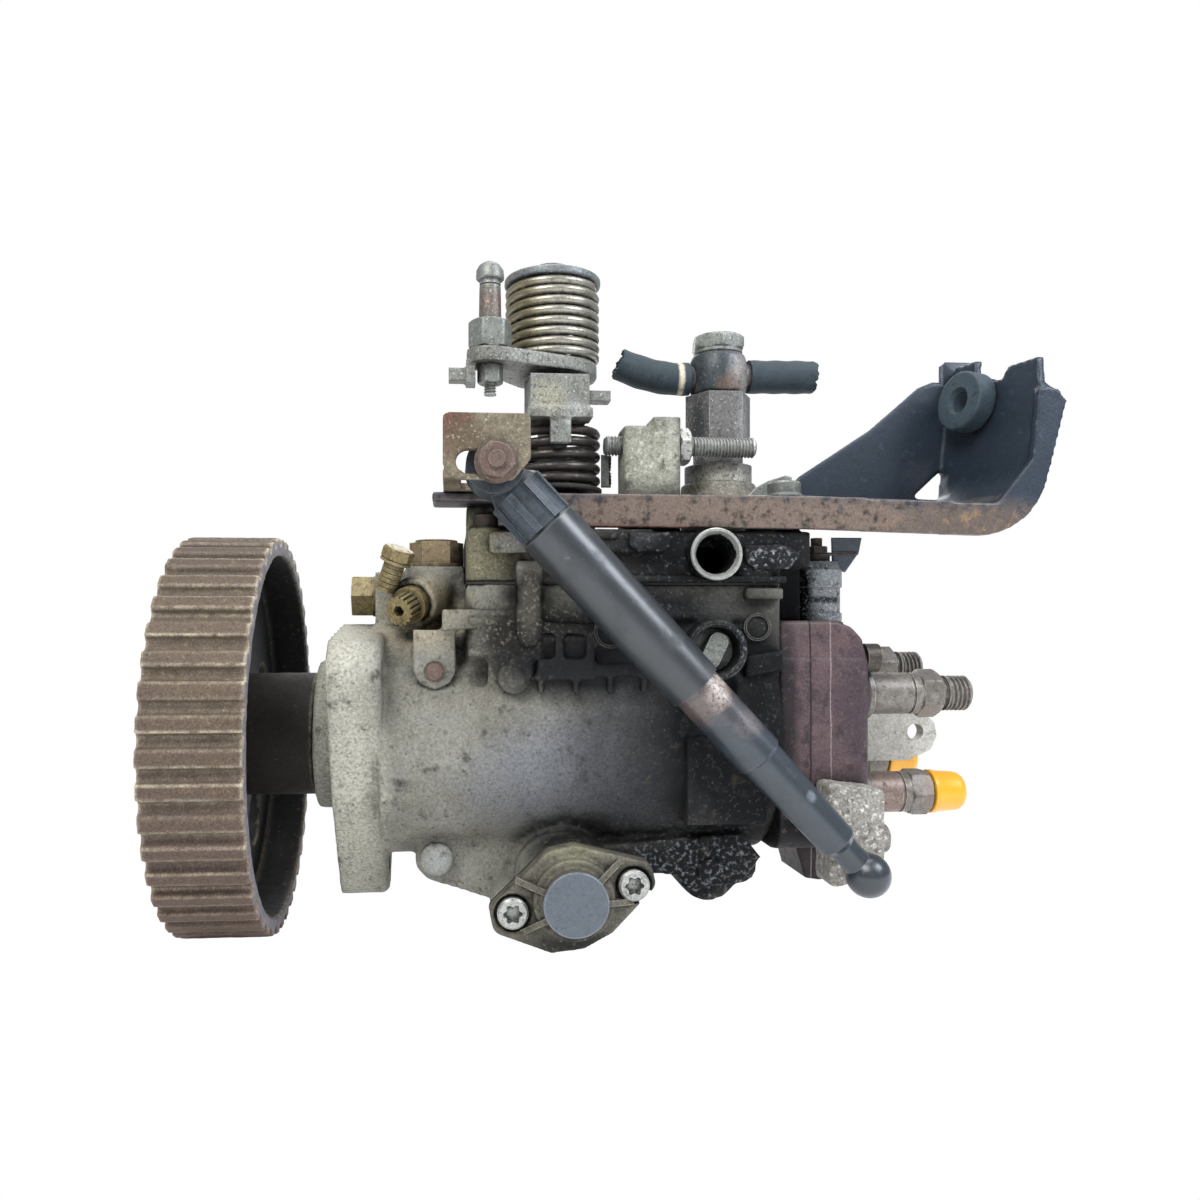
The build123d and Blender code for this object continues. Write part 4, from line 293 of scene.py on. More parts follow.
# Sintered steel pulley: browned, with the shoulders of its teeth polished bright by the belt,
# rust below and an oil-black hollow at the back
looks["sinteredSteelBrowned"] = dict(
    nodes=("belt_pulley",),
    tones=("#ab966c", "#8a7454"), toneMm=3, metallic=0.15, rough=0.6, dirtRough=0.75, gloss=0.3,
    spots=[((-35, -60, -55), 76, "#84604b", 1.0, (1.4, 1.2, 0.82), ("#9a755b", 1.0, 0.3)),
           ((-35, -20, 66), 28, "#5f5744", 0.95, (1.6, 1.6, 0.7), ("#8a8068", 1.2, 0.3))],
    streak=("#5d5043", (0.22, 1.0, 1.6), 0.6),
    dirt=[("#6b5c4c", 1.8, 0.36, 0.7), ("#cfc29e", 1.0, 0.2, 0.6)],
    byRadius=[(67.1, 0.35, "#4a3e37", 0.9), (61.2, 0.5, "#101212", 0.99), (22.5, 1.2, "#211d18", 0.95)],
    endTone=("#77747a", 60.8, 0.85),
    creviceShadeAndGrime=("#191512", 2.6, 0.9), edge=("#c6bda2", 1.3, 1.0), edgeAt=(0.995, 0.95),
    edgeOver=(-58, -12, "#8c7860"),
    grit=(0.55, 0.5), grain=[(0.5, 0.08), (1.6, 0.1)],
)
# Forged steel head, browned by oil and heat
looks["forgedSteelOiled"] = dict(
    nodes=("distributor_head",),
    tones=("#594849", "#43373a"), toneMm=8, metallic=0.2, rough=0.5, gloss=0.3,
    spots=[((148, -30, -34), 26, "#0f0e10", 1.0, (1.3, 1, 0.9)),
           ((162, 0, -48), 16, "#08090a", 1.0, (1.2, 2, 0.7)),
           ((168, -36, 10), 15, "#3a3035", 0.85, (0.7, 1, 2)),
           ((143, -36, 10), 9, "#1f191b", 0.95, (0.5, 1, 4)),
           ((150, -20, 38), 12, "#4f4946", 0.9, (1.4, 2, 0.3))],
    dirt=[("#2a2324", 4.0, 0.30, 0.75), ("#75605b", 2.0, 0.2, 0.4)],
    seams=[(150.6, 0.45, "#120e0f", 0.95), (157.2, 0.3, "#8d7f83", 0.7)],
    creviceShadeAndGrime=("#0d0b0a", 5.0, 1.0), edge=("#8d7b76", 1.0, 0.5), edgeAt=(0.9, 0.65), grit=(0.6, 0.36),
    grain=[(0.6, 0.1), (3.0, 0.12)],
)
# Rough-cast aluminium foot: coarse and chalky, with light and dark specks
looks["roughCastAluminium"] = dict(
    nodes=("support_foot",),
    tones=("#949189", "#77736a"), toneMm=4, metallic=0.15, rough=0.62, gloss=0.3,
    dirt=[("#55514a", 2.2, 0.30, 0.8), ("#cfcdc7", 1.3, 0.28, 0.85), ("#24221f", 0.9, 0.08, 0.8)],
    creviceShadeAndGrime=("#1b1814", 4.0, 0.95), edge=("#c7c5be", 1.0, 0.5), edgeAt=(0.9, 0.65), grit=(0.8, 0.45),
    grain=[(0.8, 0.24), (2.6, 0.3)],
)
# Phosphated steel, black brown, rubbed bright on its corners
looks["phosphatedSteel"] = dict(
    nodes=("pulley_nut", "head_screws", "cover_screws", "bracket_bolts", "solenoid_terminal"),
    tones=("#4c443d", "#332e2a"), toneMm=3, metallic=0.5, rough=0.45,
    dirt=[("#221e1a", 2.0, 0.3, 0.7), ("#7a5f49", 1.3, 0.18, 0.55)],
    creviceShadeAndGrime=("#0f0d0b", 2.5, 0.95), edge=("#9a8c7b", 0.4, 0.8), grain=[(0.4, 0.02), (1.5, 0.03)],
)
# Steel with its coat gone: matt brown, speckled where the rust has flaked
looks["rustedSteel"] = dict(
    tones=("#66544a", "#4d3f38"), toneMm=3, metallic=0.2, rough=0.65,
    dirt=[("#7a6253", 1.4, 0.25, 0.7), ("#352b27", 1.6, 0.28, 0.75), ("#8f8378", 0.9, 0.12, 0.7)],
    creviceShadeAndGrime=("#14100e", 2.5, 0.95), edge=("#9c8d80", 0.4, 0.6), grit=(0.5, 0.4),
    grain=[(0.5, 0.06), (1.5, 0.05)],
)
# Sheet steel with its plating gone: beige and olive bloom over rust
looks["rustedSheetSteel"] = dict(
    nodes=("slot_bracket",),
    tones=("#766e5d", "#625a4a"), toneMm=5, metallic=0.1, rough=0.66, gloss=0.3,
    spots=[((38, -68, 93), 10, "#583a2f", 0.9, (0.7, 1, 1.3), ("#85735f", 1.2, 0.2)),
           ((38, -60, 72), 10, "#4a3c30", 0.9), ((64, -50, 78), 10, "#63443a", 0.8),
           ((50, -68, 70), 9, "#4b4335", 0.8, (2.2, 1, 0.5)),
           ((41, -68, 87), 9, "#544a39", 0.85, (0.7, 1, 1))],
    dirt=[("#4d4536", 3.0, 0.28, 0.7), ("#a8a290", 1.0, 0.2, 0.8), ("#6b4a3a", 1.8, 0.14, 0.6)],
    creviceShadeAndGrime=("#15110d", 3.0, 0.95), edge=("#a39d8b", 0.8, 0.6), edgeAt=(0.9, 0.65), grit=(0.6, 0.42),
    grain=[(0.6, 0.08), (2.5, 0.08)],
)
# Turned steel: satin, tinted brown by heat and dried fuel towards the outlet tips
looks["turnedSteel"] = dict(
    nodes=("delivery_valve_holders",),
    tones=("#76716a", "#5c5650"), toneMm=3, metallic=0.4, rough=0.42,
    spots=[((197, -14, 21), 4.5, "#6b5145", 0.85, (0.6, 2, 2)),
           ((197, -14, -20), 4.5, "#6b5145", 0.85, (0.6, 2, 2)),
           ((184, -14, -20), 8, "#7a6257", 0.7, (1, 2, 2))],
    dirt=[("#443c37", 2.0, 0.28, 0.7), ("#9b8d80", 1.2, 0.18, 0.5), ("#858778", 3.0, 0.25, 0.6)],
    creviceShadeAndGrime=("#100d0b", 2.5, 0.95), edge=("#c3bdb4", 0.4, 0.8), grit=(0.5, 0.36), grain=[(0.4, 0.04)],
)
# Blackened steel ball of the union: dark and soft in its shine, pale on the right from painted light and pale
# specks
looks["blackenedSteel"] = dict(
    nodes=("banjo_fitting",),
    tones=("#3b4244", "#2a3033"), toneMm=4, metallic=0.3, rough=0.42,
    # Painted light on the right side, broken by pale specks
    spots=[((138, -8, 122), 10, "#8b8783", 0.92, (0.8, 1, 1.2), ("#bdb9b3", 0.9, 0.2)),
           ((132, -10, 118), 6, "#6d5547", 0.6)],
    dirt=[("#16191b", 2.6, 0.25, 0.7), ("#7b7670", 1.0, 0.2, 0.7)],
    creviceShadeAndGrime=("#0b0b0b", 2.5, 0.95), edge=("#8a827b", 0.5, 0.5), grit=(0.5, 0.45),
    grain=[(0.5, 0.05), (1.5, 0.05)],
)
# Turned steel of the overflow adaptor: mid grey with dense fine specks, pale at its foot, with painted shade
# on the left and painted light on the right
looks["turnedSteelGrey"] = dict(
    nodes=("overflow_adaptor",),
    tones=("#6d6b68", "#565553"), toneMm=4, metallic=0.35, rough=0.45,
    spots=[((130.4, -8, 85), 15, "#bbb7a9", 0.98, (1, 1, 0.5)),
           # The next two spots: painted light on the right side, painted shade on the left side
           ((139, -10, 104), 7, "#8c8c8c", 0.8, (0.8, 1, 3)),
           ((121, -6, 104), 5.5, "#2e3535", 0.9, (0.8, 1, 3.4))],
    dirt=[("#383736", 1.4, 0.32, 0.7), ("#b3b2ae", 0.9, 0.2, 0.75)],
    creviceShadeAndGrime=("#131212", 3.0, 0.95), edge=("#c6c5c0", 0.4, 0.8), grit=(0.5, 0.5), grain=[(0.5, 0.05)],
)
# Bare pressed steel plate, pale and dusty
looks["pressedSteelPlate"] = dict(
    nodes=("valve_lug_plate",),
    tones=("#c6c4bb", "#aaa89e"), toneMm=5, metallic=0.3, rough=0.5,
    dirt=[("#65625a", 2.4, 0.25, 0.6), ("#cfcdc6", 1.4, 0.2, 0.6)],
    creviceShadeAndGrime=("#2a2824", 3.0, 0.9), edge=("#d8d7d2", 0.4, 0.8), grit=(0.6, 0.3), grain=[(0.5, 0.03)],
)
# Zinc plate gone dull, with yellow and grey bloom
looks["zincPlatedSteel"] = dict(
    nodes=("port_plug", "spring_cap", "lever_stud", "banjo_bolt"),
    tones=("#82857f", "#62655f"), toneMm=4, metallic=0.45, rough=0.45,
    spots=[((49.2, -27, 139), 9, "#63574e", 0.95, (1, 1, 0.75), ("#8d8078", 1.1, 0.25)),
           ((143.4, -31, 80), 9, "#5d605b", 0.9), ((71, -20, 150), 18, "#666b6d", 0.85, (1, 1, 0.35))],
    dirt=[("#43443e", 1.8, 0.28, 0.75), ("#b3b5b0", 1.0, 0.2, 0.65), ("#75705a", 2.6, 0.14, 0.5)],
    creviceShadeAndGrime=("#121110", 3.0, 0.95), edge=("#cfcec6", 0.4, 0.6), grit=(0.5, 0.4),
    grain=[(0.5, 0.05), (2.0, 0.05)],
)
# Zinc-plated can: pale with a fair shine, blotched with oil that also ran down its left side
looks["zincPlatedCan"] = dict(
    nodes=("stop_solenoid",),
    tones=("#a7abad", "#7a8083"), toneMm=5, metallic=0.5, rough=0.34,
    spots=[((159, -5, 48), 6, "#0b0e10", 1.0, (0.6, 1.4, 3)),
           ((167, -8, 45.5), 3.2, "#14181b", 0.9, (4, 2, 0.5))],
    dirt=[("#15191c", 2.6, 0.26, 0.9), ("#dadcdb", 1.0, 0.28, 0.85)],
    creviceShadeAndGrime=("#0d0e0f", 3.0, 0.95), edge=("#e2e2dd", 0.4, 0.6), grit=(0.5, 0.5),
    grain=[(0.5, 0.06), (2.0, 0.06)],
)
# Zinc alloy casting of the throttle lever: grainy, dull on the left, pale and a little yellow past the middle
looks["castZinc"] = dict(
    nodes=("throttle_lever",),
    tones=("#85867f", "#64655e"), toneMm=5, metallic=0.3, rough=0.52, gloss=0.35,
    spots=[((68, -24, 109), 8, "#93907c", 0.7), ((48, -28, 121), 9, "#5f5f57", 0.8),
           ((76, -24, 104), 6, "#a3a5a2", 0.7)],
    dirt=[("#3d3c37", 1.6, 0.28, 0.8), ("#bfc0bc", 0.9, 0.2, 0.75)],
    creviceShadeAndGrime=("#100f0d", 5.0, 1.0), edge=("#b9bab6", 0.7, 0.6), edgeAt=(0.9, 0.65), grit=(0.6, 0.5),
    grain=[(0.6, 0.1), (2.0, 0.08)],
)
# Tarnished brass: dull olive gold, near black in its corners from tarnish and painted shade
looks["tarnishedBrass"] = dict(
    nodes=("pressure_valve", "screw_plugs", "cold_start_shaft"),
    tones=("#86784f", "#6d6041"), toneMm=4, metallic=0.25, rough=0.5,
    spots=[((31.8, -7, 60), 14, "#85735b", 0.8, (1, 1, 1), ("#9a8366", 1.4, 0.25))],
    dirt=[("#40382a", 2.2, 0.32, 0.75), ("#a89c70", 1.2, 0.2, 0.6)],
    creviceShadeAndGrime=("#15110b", 3.0, 0.95), edge=("#b9aa85", 0.4, 0.7), grit=(0.5, 0.42),
    grain=[(0.5, 0.06), (2.0, 0.06)],
)
# Bright spring wire: a sharp highlight on each coil, yellowed on the left
looks["springSteelBright"] = dict(
    nodes=("upper_spring",),
    tones=("#a3a098", "#8a8574"), toneMm=5, metallic=0.8, rough=0.34,
    spots=[((58, -18, 138), 13, "#8a805f", 0.75, (1, 1, 1.6))],
    dirt=[("#47433a", 2.2, 0.25, 0.7)],
    creviceShadeAndGrime=("#0b0a08", 3.0, 1.0), grit=(0.5, 0.3), grain=[(0.5, 0.03)],
)
# Oiled spring wire: dark brown, with thin highlights
looks["springSteelDark"] = dict(
    nodes=("lower_spring", "plunger_springs", "timing_spring"),
    tones=("#4d4742", "#38332f"), toneMm=4, metallic=0.7, rough=0.36,
    dirt=[("#1d1a17", 3.0, 0.35, 0.7)],
    creviceShadeAndGrime=("#0b0908", 3.0, 1.0), grain=[(0.5, 0.02)],
)
# Black-painted sheet steel: paint left blue-black on the upright, rusted through along the front lip, its
# edges in a painted pale blue highlight
looks["paintedSheetSteel"] = dict(
    nodes=("cable_bracket",),
    tones=("#1f2831", "#28323d"), toneMm=14, metallic=0.1, rough=0.42, dirtRough=0.6, gloss=0.4,
    spots=[((120, -41, 70), 92, "#67594f", 1.0, (1.4, 0.05, 0.12), ("#1f1b17", 2.6, 0.34)),
           ((200, -41, 66), 28, "#564b44", 1.0, (1.1, 0.12, 0.34), ("#80684a", 3.0, 0.3)),
           ((80, -41, 66.4), 18, "#6a4136", 0.7, (2.2, 0.2, 0.1), ("#8a7a68", 2.0, 0.3)),
           ((205, -12, 88), 13, "#3d4048", 0.7, (0.7, 2, 1), ("#6b5246", 1.5, 0.2)),
           ((120, -20, 78), 100, "#6f665a", 0.8, (1.4, 0.2, 0.03), ("#453a33", 2.0, 0.3))],
    dirt=[("#14191e", 3.2, 0.12, 0.8), ("#525d74", 5.0, 0.14, 0.3)],
    # The pale blue edge colour is a painted highlight
    creviceShadeAndGrime=("#0b0d10", 4.0, 0.9), edge=("#7f869a", 0.8, 0.5), edgeAt=(0.93, 0.75), grit=(0.6, 0.3),
    grain=[(0.8, 0.06), (3.0, 0.1)],
)
# Glass-filled nylon of the socket, and the oil seal: dark blue grey, dull, with paler rubbed edges
looks["glassFilledNylon"] = dict(
    nodes=("strut_socket", "oil_seal"),
    tones=("#39424a", "#242b31"), toneMm=6, rough=0.5, dirt=[("#15181b", 3.0, 0.25, 0.6)],
    creviceShadeAndGrime=("#060708", 5.0, 1.0), edge=("#77828b", 0.5, 0.6), grain=[(0.5, 0.03)],
)
# Aged rubber: matt blue black with a dusty bloom, and painted light on the grommet where it lies in shade
looks["agedRubber"] = dict(
    nodes=("return_hoses", "cable_grommet"),
    tones=("#26343b", "#1d282d"), toneMm=5, rough=0.72,
    dirt=[("#46535a", 1.6, 0.14, 0.5), ("#10161a", 3.0, 0.25, 0.7)],
    # The second spot, on the grommet, is painted light
    spots=[((116.4, 0, 123), 3.6, "#c4baa4", 1.0, (0.4, 4, 3)), ((217, -12, 114), 16, "#33424a", 1.0)],
    creviceShadeAndGrime=("#06080a", 3.0, 0.9), grit=(0.5, 0.36), grain=[(0.6, 0.12), (0.25, 0.04)],
)
# Smoke-grey paint of the strut's sleeve: even, with a soft sheen
looks["strutSleevePaint"] = dict(
    nodes=("strut_sleeve",),
    tones=("#272c2f", "#1f2326"), toneMm=16, rough=0.34, gloss=0.7,
    dirt=[("#1c2023", 9.0, 0.3, 0.5), ("#6e767c", 2.0, 0.04, 0.5)],
    edge=("#7b828b", 0.5, 0.5), grit=(0.5, 0.12), grain=[(0.5, 0.01), (6.0, 0.04)],
)
# Dark glossy paint on the strut's tube, rubbed through just below the sleeve
looks["strutTubePaint"] = dict(
    nodes=("strut_tube",),
    tones=("#2b333a", "#22292f"), toneMm=8, metallic=0.1, rough=0.3, dirtRough=0.5, gloss=0.7,
    spots=[((110, -58, 17), 11, "#5a4d47", 1.0, (1.1, 1, 1.1), ("#3a302c", 1.2, 0.3)),
           ((113, -61, 18.5), 6.5, "#a2978f", 1.0, (0.8, 1, 1.2), ("#2b2422", 1.0, 0.4)),
           ((121, -60, 8), 6, "#5f5859", 0.8, (1.2, 1, 1), ("#262c33", 1.2, 0.3)),
           ((141, -62, -13), 2.2, "#666d72", 0.9),
           ((160.2, -56, -37.8), 12, "#20272c", 0.95)],
    dirt=[("#1a2026", 5.0, 0.25, 0.5), ("#5c636c", 1.6, 0.05, 0.6)],
    edge=("#8a8fa0", 0.5, 0.5), grit=(0.5, 0.2), grain=[(0.5, 0.02), (4.0, 0.06)],
)
# Moulded polyethylene: strong even yellow, hardly dirty
looks["yellowPolyethylene"] = dict(
    nodes=("dust_cap_front", "dust_cap_rear"),
    tones=("#d79b15", "#cb900f"), toneMm=8, rough=0.4, dirt=[("#8a6a1e", 2.0, 0.08, 0.4)],
    creviceShadeAndGrime=("#6a4a08", 2.5, 0.7), grit=(0.6, 0.08), grain=[(1.5, 0.04)],
)
# Pressed fibre: matt and almost black, seen as thin lines only
looks["fibreGasket"] = dict(
    nodes=("timing_gaskets", "cover_gasket"),
    tones=("#1d1d1b", "#292824"), toneMm=3, rough=0.8, grain=[(0.5, 0.03)],
)
# Ground steel of the shafts and inner works: clean, with an even shine
looks["groundSteel"] = dict(
    nodes=("drive_shaft", "shaft_key", "feed_ring", "feed_rotor", "drive_gear", "flyweight_cage",
           "flyweights", "governor_shaft", "governor_sleeve", "control_lever", "lever_spindle",
           "control_collar", "roller_ring", "cam_plate", "pump_plunger", "timing_piston", "throttle_shaft"),
    tones=("#8f8d88", "#7c7a75"), toneMm=6, metallic=0.85, rough=0.35, grit=(0.5, 0.1),
    grain=[(0.4, 0.005)],
)
# Sintered bronze bush: warm and evenly shining
looks["sinteredBronze"] = dict(
    nodes=("shaft_bush",),
    tones=("#a47a45", "#8c6636"), toneMm=5, metallic=0.85, rough=0.4, grit=(0.5, 0.1), grain=[(0.4, 0.01)],
)
# Machined zinc: slate grey with thin pale edges
looks["machinedZinc"] = dict(
    tones=("#555c63", "#494f56"), toneMm=4, metallic=0.2, rough=0.5,
    dirt=[("#3a4048", 1.6, 0.25, 0.6), ("#6d747e", 1.0, 0.15, 0.5)],
    creviceShadeAndGrime=("#141619", 2.0, 0.8), edge=("#a5a9ae", 0.4, 0.8), grit=(0.5, 0.2), grain=[(0.5, 0.03)],
)
# Bright screws: pale steel with dark dirt in patches, black in sockets and threads from painted shade and
# grime
looks["brightScrewSteel"] = dict(
    nodes=("timing_screws", "adjusting_screw"),
    tones=("#a9aaa6", "#86877f"), toneMm=3, metallic=0.6, rough=0.38, dirt=[("#43413a", 1.2, 0.28, 0.8)],
    creviceShadeAndGrime=("#0c0b0a", 2.0, 1.0), edge=("#d5d5d0", 0.4, 0.7), grit=(0.5, 0.25), grain=[(0.4, 0.03)],
)


# Every shown face of a CAD node gets the material of the look that lists it
finish = {}
for name, look in looks.items():
    finish[name] = wornFinish(name, look)
    for node in look.get("nodes", ()):
        for slot in nodes[node].material_slots:
            slot.material = finish[name]
        if not nodes[node].material_slots:
            nodes[node].data.materials.append(finish[name])
print("materials done")


# New surfaces, worked out as grids of points: rows run along a piece, columns round it
# A row that shrinks to a point closes the end; where loop is set, the last row meets the first
def meshOf(name, grids, finishName, body="pump_body", loop=False, sharpDeg=32, stands=()):
    points, quads, start = [], [], 0
    for grid in grids:
        rows, columns = grid.shape[:2]
        row, column = np.meshgrid(np.arange(rows if loop else rows - 1), np.arange(columns), indexing="ij")
        after, beside = (row + 1) % rows, (column + 1) % columns
        corners = (row * columns + column, row * columns + beside, after * columns + beside,
                   after * columns + column)
        block = np.stack(corners, -1).reshape(-1, 4) + start
        flat = grid.reshape(-1, 3)
        a, b, c, d = (flat[block[:, k] - start] for k in range(4))
        volume = (np.cross(a, b) * c).sum() + (np.cross(a, c) * d).sum()
        quads.append(block if volume > 0 else block[:, ::-1])
        points.append(flat)
        start += rows * columns
    made = bpy.data.meshes.new(name)
    made.from_pydata(np.concatenate(points).tolist(), [], np.concatenate(quads).tolist())
    cleaner = bmesh.new()
    cleaner.from_mesh(made)
    bmesh.ops.remove_doubles(cleaner, verts=cleaner.verts, dist=1e-6)
    cleaner.to_mesh(made)
    cleaner.free()
    made.polygons.foreach_set("use_smooth", np.ones(len(made.polygons), dtype=bool))
    made.set_sharp_from_angle(angle=radians(sharpDeg))
    made.materials.append(finish[finishName])
    piece = bpy.data.objects.new(name, made)
    bpy.context.scene.collection.objects.link(piece)
    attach(piece, body)
    if stands:
        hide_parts(*stands)
    return piece


# Turned surface: point = origin + along * way + radius * (cos, sin) across it.
# Sections are (start, end, radius at start, radius at end, kind), all in mm from the origin.
# One with no kind is round. A hex section is the lesser of the hexagon and a cone at each
# end, a star section swells six times round, and a thread is the radius less a triangle
# wave that climbs one pitch a turn
def turnedGrid(originMm, way, sections, columns=72, pitchMm=1.5, hexTurn=0.0):
    way = np.array(way, float) / np.linalg.norm(way)
    helper = np.array((0, 0, 1.0)) if abs(way[2]) < 0.9 else np.array((1.0, 0, 0))
    across = np.cross(helper, way)
    across /= np.linalg.norm(across)
    up = np.cross(way, across)
    angle = np.linspace(0, 2 * pi, columns, endpoint=False)
    along, radius = [np.full((1, columns), sections[0][0])], [np.zeros((1, columns))]
    for start, end, first, last, *kind in sections:
        kind = kind[0] if kind else "round"
        if kind == "hex":
            flat = first / 2 / np.cos(np.mod(angle + radians(hexTurn), pi / 3) - pi / 6)
            steps = np.array([0, 0.25, 0.6, 1.2])
            s = np.concatenate([start + steps, end - steps[::-1]])
            cone = first / 2 * 0.96 + np.minimum(s - start, end - s) * 1.5
            r = np.minimum(flat[None, :], cone[:, None])
        elif kind == "star":
            s = np.array([start, end], float)
            lobes = 1 + 0.14 * np.cos(6 * angle)
            r = np.array([[first], [last]], float) * lobes[None, :]
        elif kind == "thread":
            s = np.linspace(start, end, max(3, int(abs(end - start) / pitchMm * 10)))
            wave = np.abs(np.mod(s[:, None] / pitchMm - angle[None, :] / (2 * pi), 1) - 0.5) * 2
            fade = np.clip(np.minimum(s - start, end - s) / (0.7 * pitchMm), 0, 1)[:, None]
            r = first - 0.54 * pitchMm * np.clip(1.25 * wave - 0.1, 0, 1) * fade
        else:
            s = np.array([start, end], float)
            r = np.repeat(np.array([[first], [last]], float), columns, 1)
        along.append(np.repeat(s[:, None], columns, 1))
        radius.append(r)
    along.append(np.full((1, columns), sections[-1][1]))
    radius.append(np.zeros((1, columns)))
    s, r = np.concatenate(along)[..., None], np.concatenate(radius)[..., None]
    ring = np.cos(angle)[:, None] * across + np.sin(angle)[:, None] * up
    return (np.array(originMm, float) + s * way + r * ring) * mm


# Tube along a path: point = path + radius * (cos * side + sin * (tangent x side))
def tubeGrid(pathMm, side, radiusMm, columns=14):
    tangent = np.gradient(pathMm, axis=0)
    tangent /= np.linalg.norm(tangent, axis=1, keepdims=True)
    side = np.broadcast_to(np.array(side, float), pathMm.shape)
    third = np.cross(tangent, side)
    angle = np.linspace(0, 2 * pi, columns, endpoint=False)
    radius = np.broadcast_to(np.array(radiusMm, float), (len(pathMm),))[:, None, None]
    ring = np.cos(angle)[:, None] * side[:, None, :] + np.sin(angle)[:, None] * third[:, None, :]
    grid = (pathMm[:, None, :] + radius * ring) * mm
    ends = [np.repeat(pathMm[k][None, None, :] * mm, columns, 1) for k in (0, -1)]
    return np.concatenate([ends[0], grid, ends[1]])


# Coil spring: the angle runs on evenly while the climb slows over the last turn at each
# end, so the end coils lie nearly flat
def coilSpring(name, look, finishName, body, node):
    steps = int(look["turns"] * 40)
    t = np.linspace(0, look["turns"], steps)
    climb = np.clip(np.minimum(t, look["turns"] - t) / 0.8, 0, 1) * (1 - look["flat"]) + look["flat"]
    z = np.concatenate([[0], np.cumsum((climb[1:] + climb[:-1]) / 2)])
    z = look["low"] + (look["high"] - look["low"]) * z / z[-1]
    angle = 2 * pi * t + radians(look["startDeg"])
    out = np.stack([np.cos(angle), np.sin(angle), np.zeros(steps)], 1)
    path = np.array((look["x"], look["y"], 0)) + look["coilR"] * out + z[:, None] * np.array((0, 0, 1.0))
    taper = np.clip(np.minimum(np.arange(steps), np.arange(steps)[::-1]) / 2.0, 0.35, 1)
    return meshOf(name, [tubeGrid(path, out, look["wireR"] * taper)], finishName, body, stands=(node,))


def boxMm(name):
    low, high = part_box(name)
    return np.array(low) / mm, np.array(high) / mm


# Upper and lower spring of the throttle stack, placed by the nodes that they stand for
def throttleSprings():
    for name, node, finishName, body, wire, turns, flat in (
        ("upperThrottleSpring", "upper_spring", "springSteelBright", "throttle", 1.5, 7.4, 0.5),
        ("lowerThrottleSpring", "lower_spring", "springSteelDark", "pump_body", 1.6, 4.6, 0.4),
    ):
        low, high = boxMm(node)
        middle = (low + high) / 2
        look = dict(x=middle[0], y=middle[1], low=low[2] + wire, high=high[2] - wire, wireR=wire,
                    coilR=(high[0] - low[0]) / 2 - wire, turns=turns, flat=flat, startDeg=200)
        coilSpring(name, look, finishName, body, node)


# Delivery valve holders: turned body, hexagon with chamfered corners, neck, thread and cone seat
holderLook = dict(bodyR=6.9, collarR=8.6, hexAcross=14.0, hexStart=21.0, hexLength=7.5,
                  neckR=5.0, neckLength=2.2, threadR=5.9, threadLength=8.2, circleR=24.7,
                  circleZ=0.4, firstDeg=57)


def deliveryHolders():
    look = holderLook
    high = boxMm("delivery_valve_holders")[1]
    start = high[0] - (look["hexStart"] + look["hexLength"] + look["neckLength"] + look["threadLength"])
    grids = []
    hexStart = start + look["hexStart"]
    hexEnd = hexStart + look["hexLength"]
    neckEnd = hexEnd + look["neckLength"]
    for k in range(4):
        angle = radians(look["firstDeg"] + 90 * k)
        y, z = look["circleR"] * cos(angle), look["circleZ"] + look["circleR"] * sin(angle)
        sections = [
            (start, start + 4.0, look["collarR"], look["collarR"]),
            (start + 4.0, start + 4.8, look["collarR"], look["bodyR"]),
            (start + 4.8, hexStart - 3.2, look["bodyR"], look["bodyR"]),
            (hexStart - 3.0, hexStart - 2.4, look["bodyR"] - 0.5, look["bodyR"] - 0.5),
            (hexStart - 2.2, hexStart, look["bodyR"], look["bodyR"]),
            (hexStart, hexEnd, look["hexAcross"], 0, "hex"),
            (hexEnd, hexEnd + 0.6, look["neckR"] + 0.9, look["neckR"]),
            (hexEnd + 0.6, neckEnd, look["neckR"], look["neckR"]),
            (neckEnd, high[0] - 0.9, look["threadR"], 0, "thread"),
            (high[0] - 0.8, high[0], look["threadR"] - 0.1, look["threadR"] - 0.9),
            (high[0], high[0] - 3.2, 3.0, 1.0),
        ]
        grids.append(turnedGrid((0, y, z), (1, 0, 0), sections, hexTurn=15 + 20 * k))
    meshOf("outletHolders", grids, "turnedSteel", stands=("delivery_valve_holders",))


# Adjusting screw: full-length thread with chamfered ends and a lock nut against the post
adjusterLook = dict(nutStart=112.1, nutAcross=11.0, nutLength=4.0, pitch=1.1)


def adjusterScrew():
    low, high = boxMm("adjusting_screw")
    y, z = (low[1] + high[1]) / 2, (low[2] + high[2]) / 2
    nutStart = adjusterLook["nutStart"]
    rod = [(low[0], low[0] + 0.7, 2.6, 3.3), (low[0] + 0.7, high[0] - 0.7, 3.4, 0, "thread"),
           (high[0] - 0.7, high[0], 3.3, 2.6)]
    nut = [(nutStart, nutStart + adjusterLook["nutLength"], adjusterLook["nutAcross"], 0, "hex")]
    grids = [turnedGrid((0, y, z), (1, 0, 0), rod, pitchMm=adjusterLook["pitch"]),
             turnedGrid((0, y, z), (1, 0, 0), nut, hexTurn=10)]
    meshOf("adjusterScrewThreaded", grids, "brightScrewSteel", stands=("adjusting_screw",))


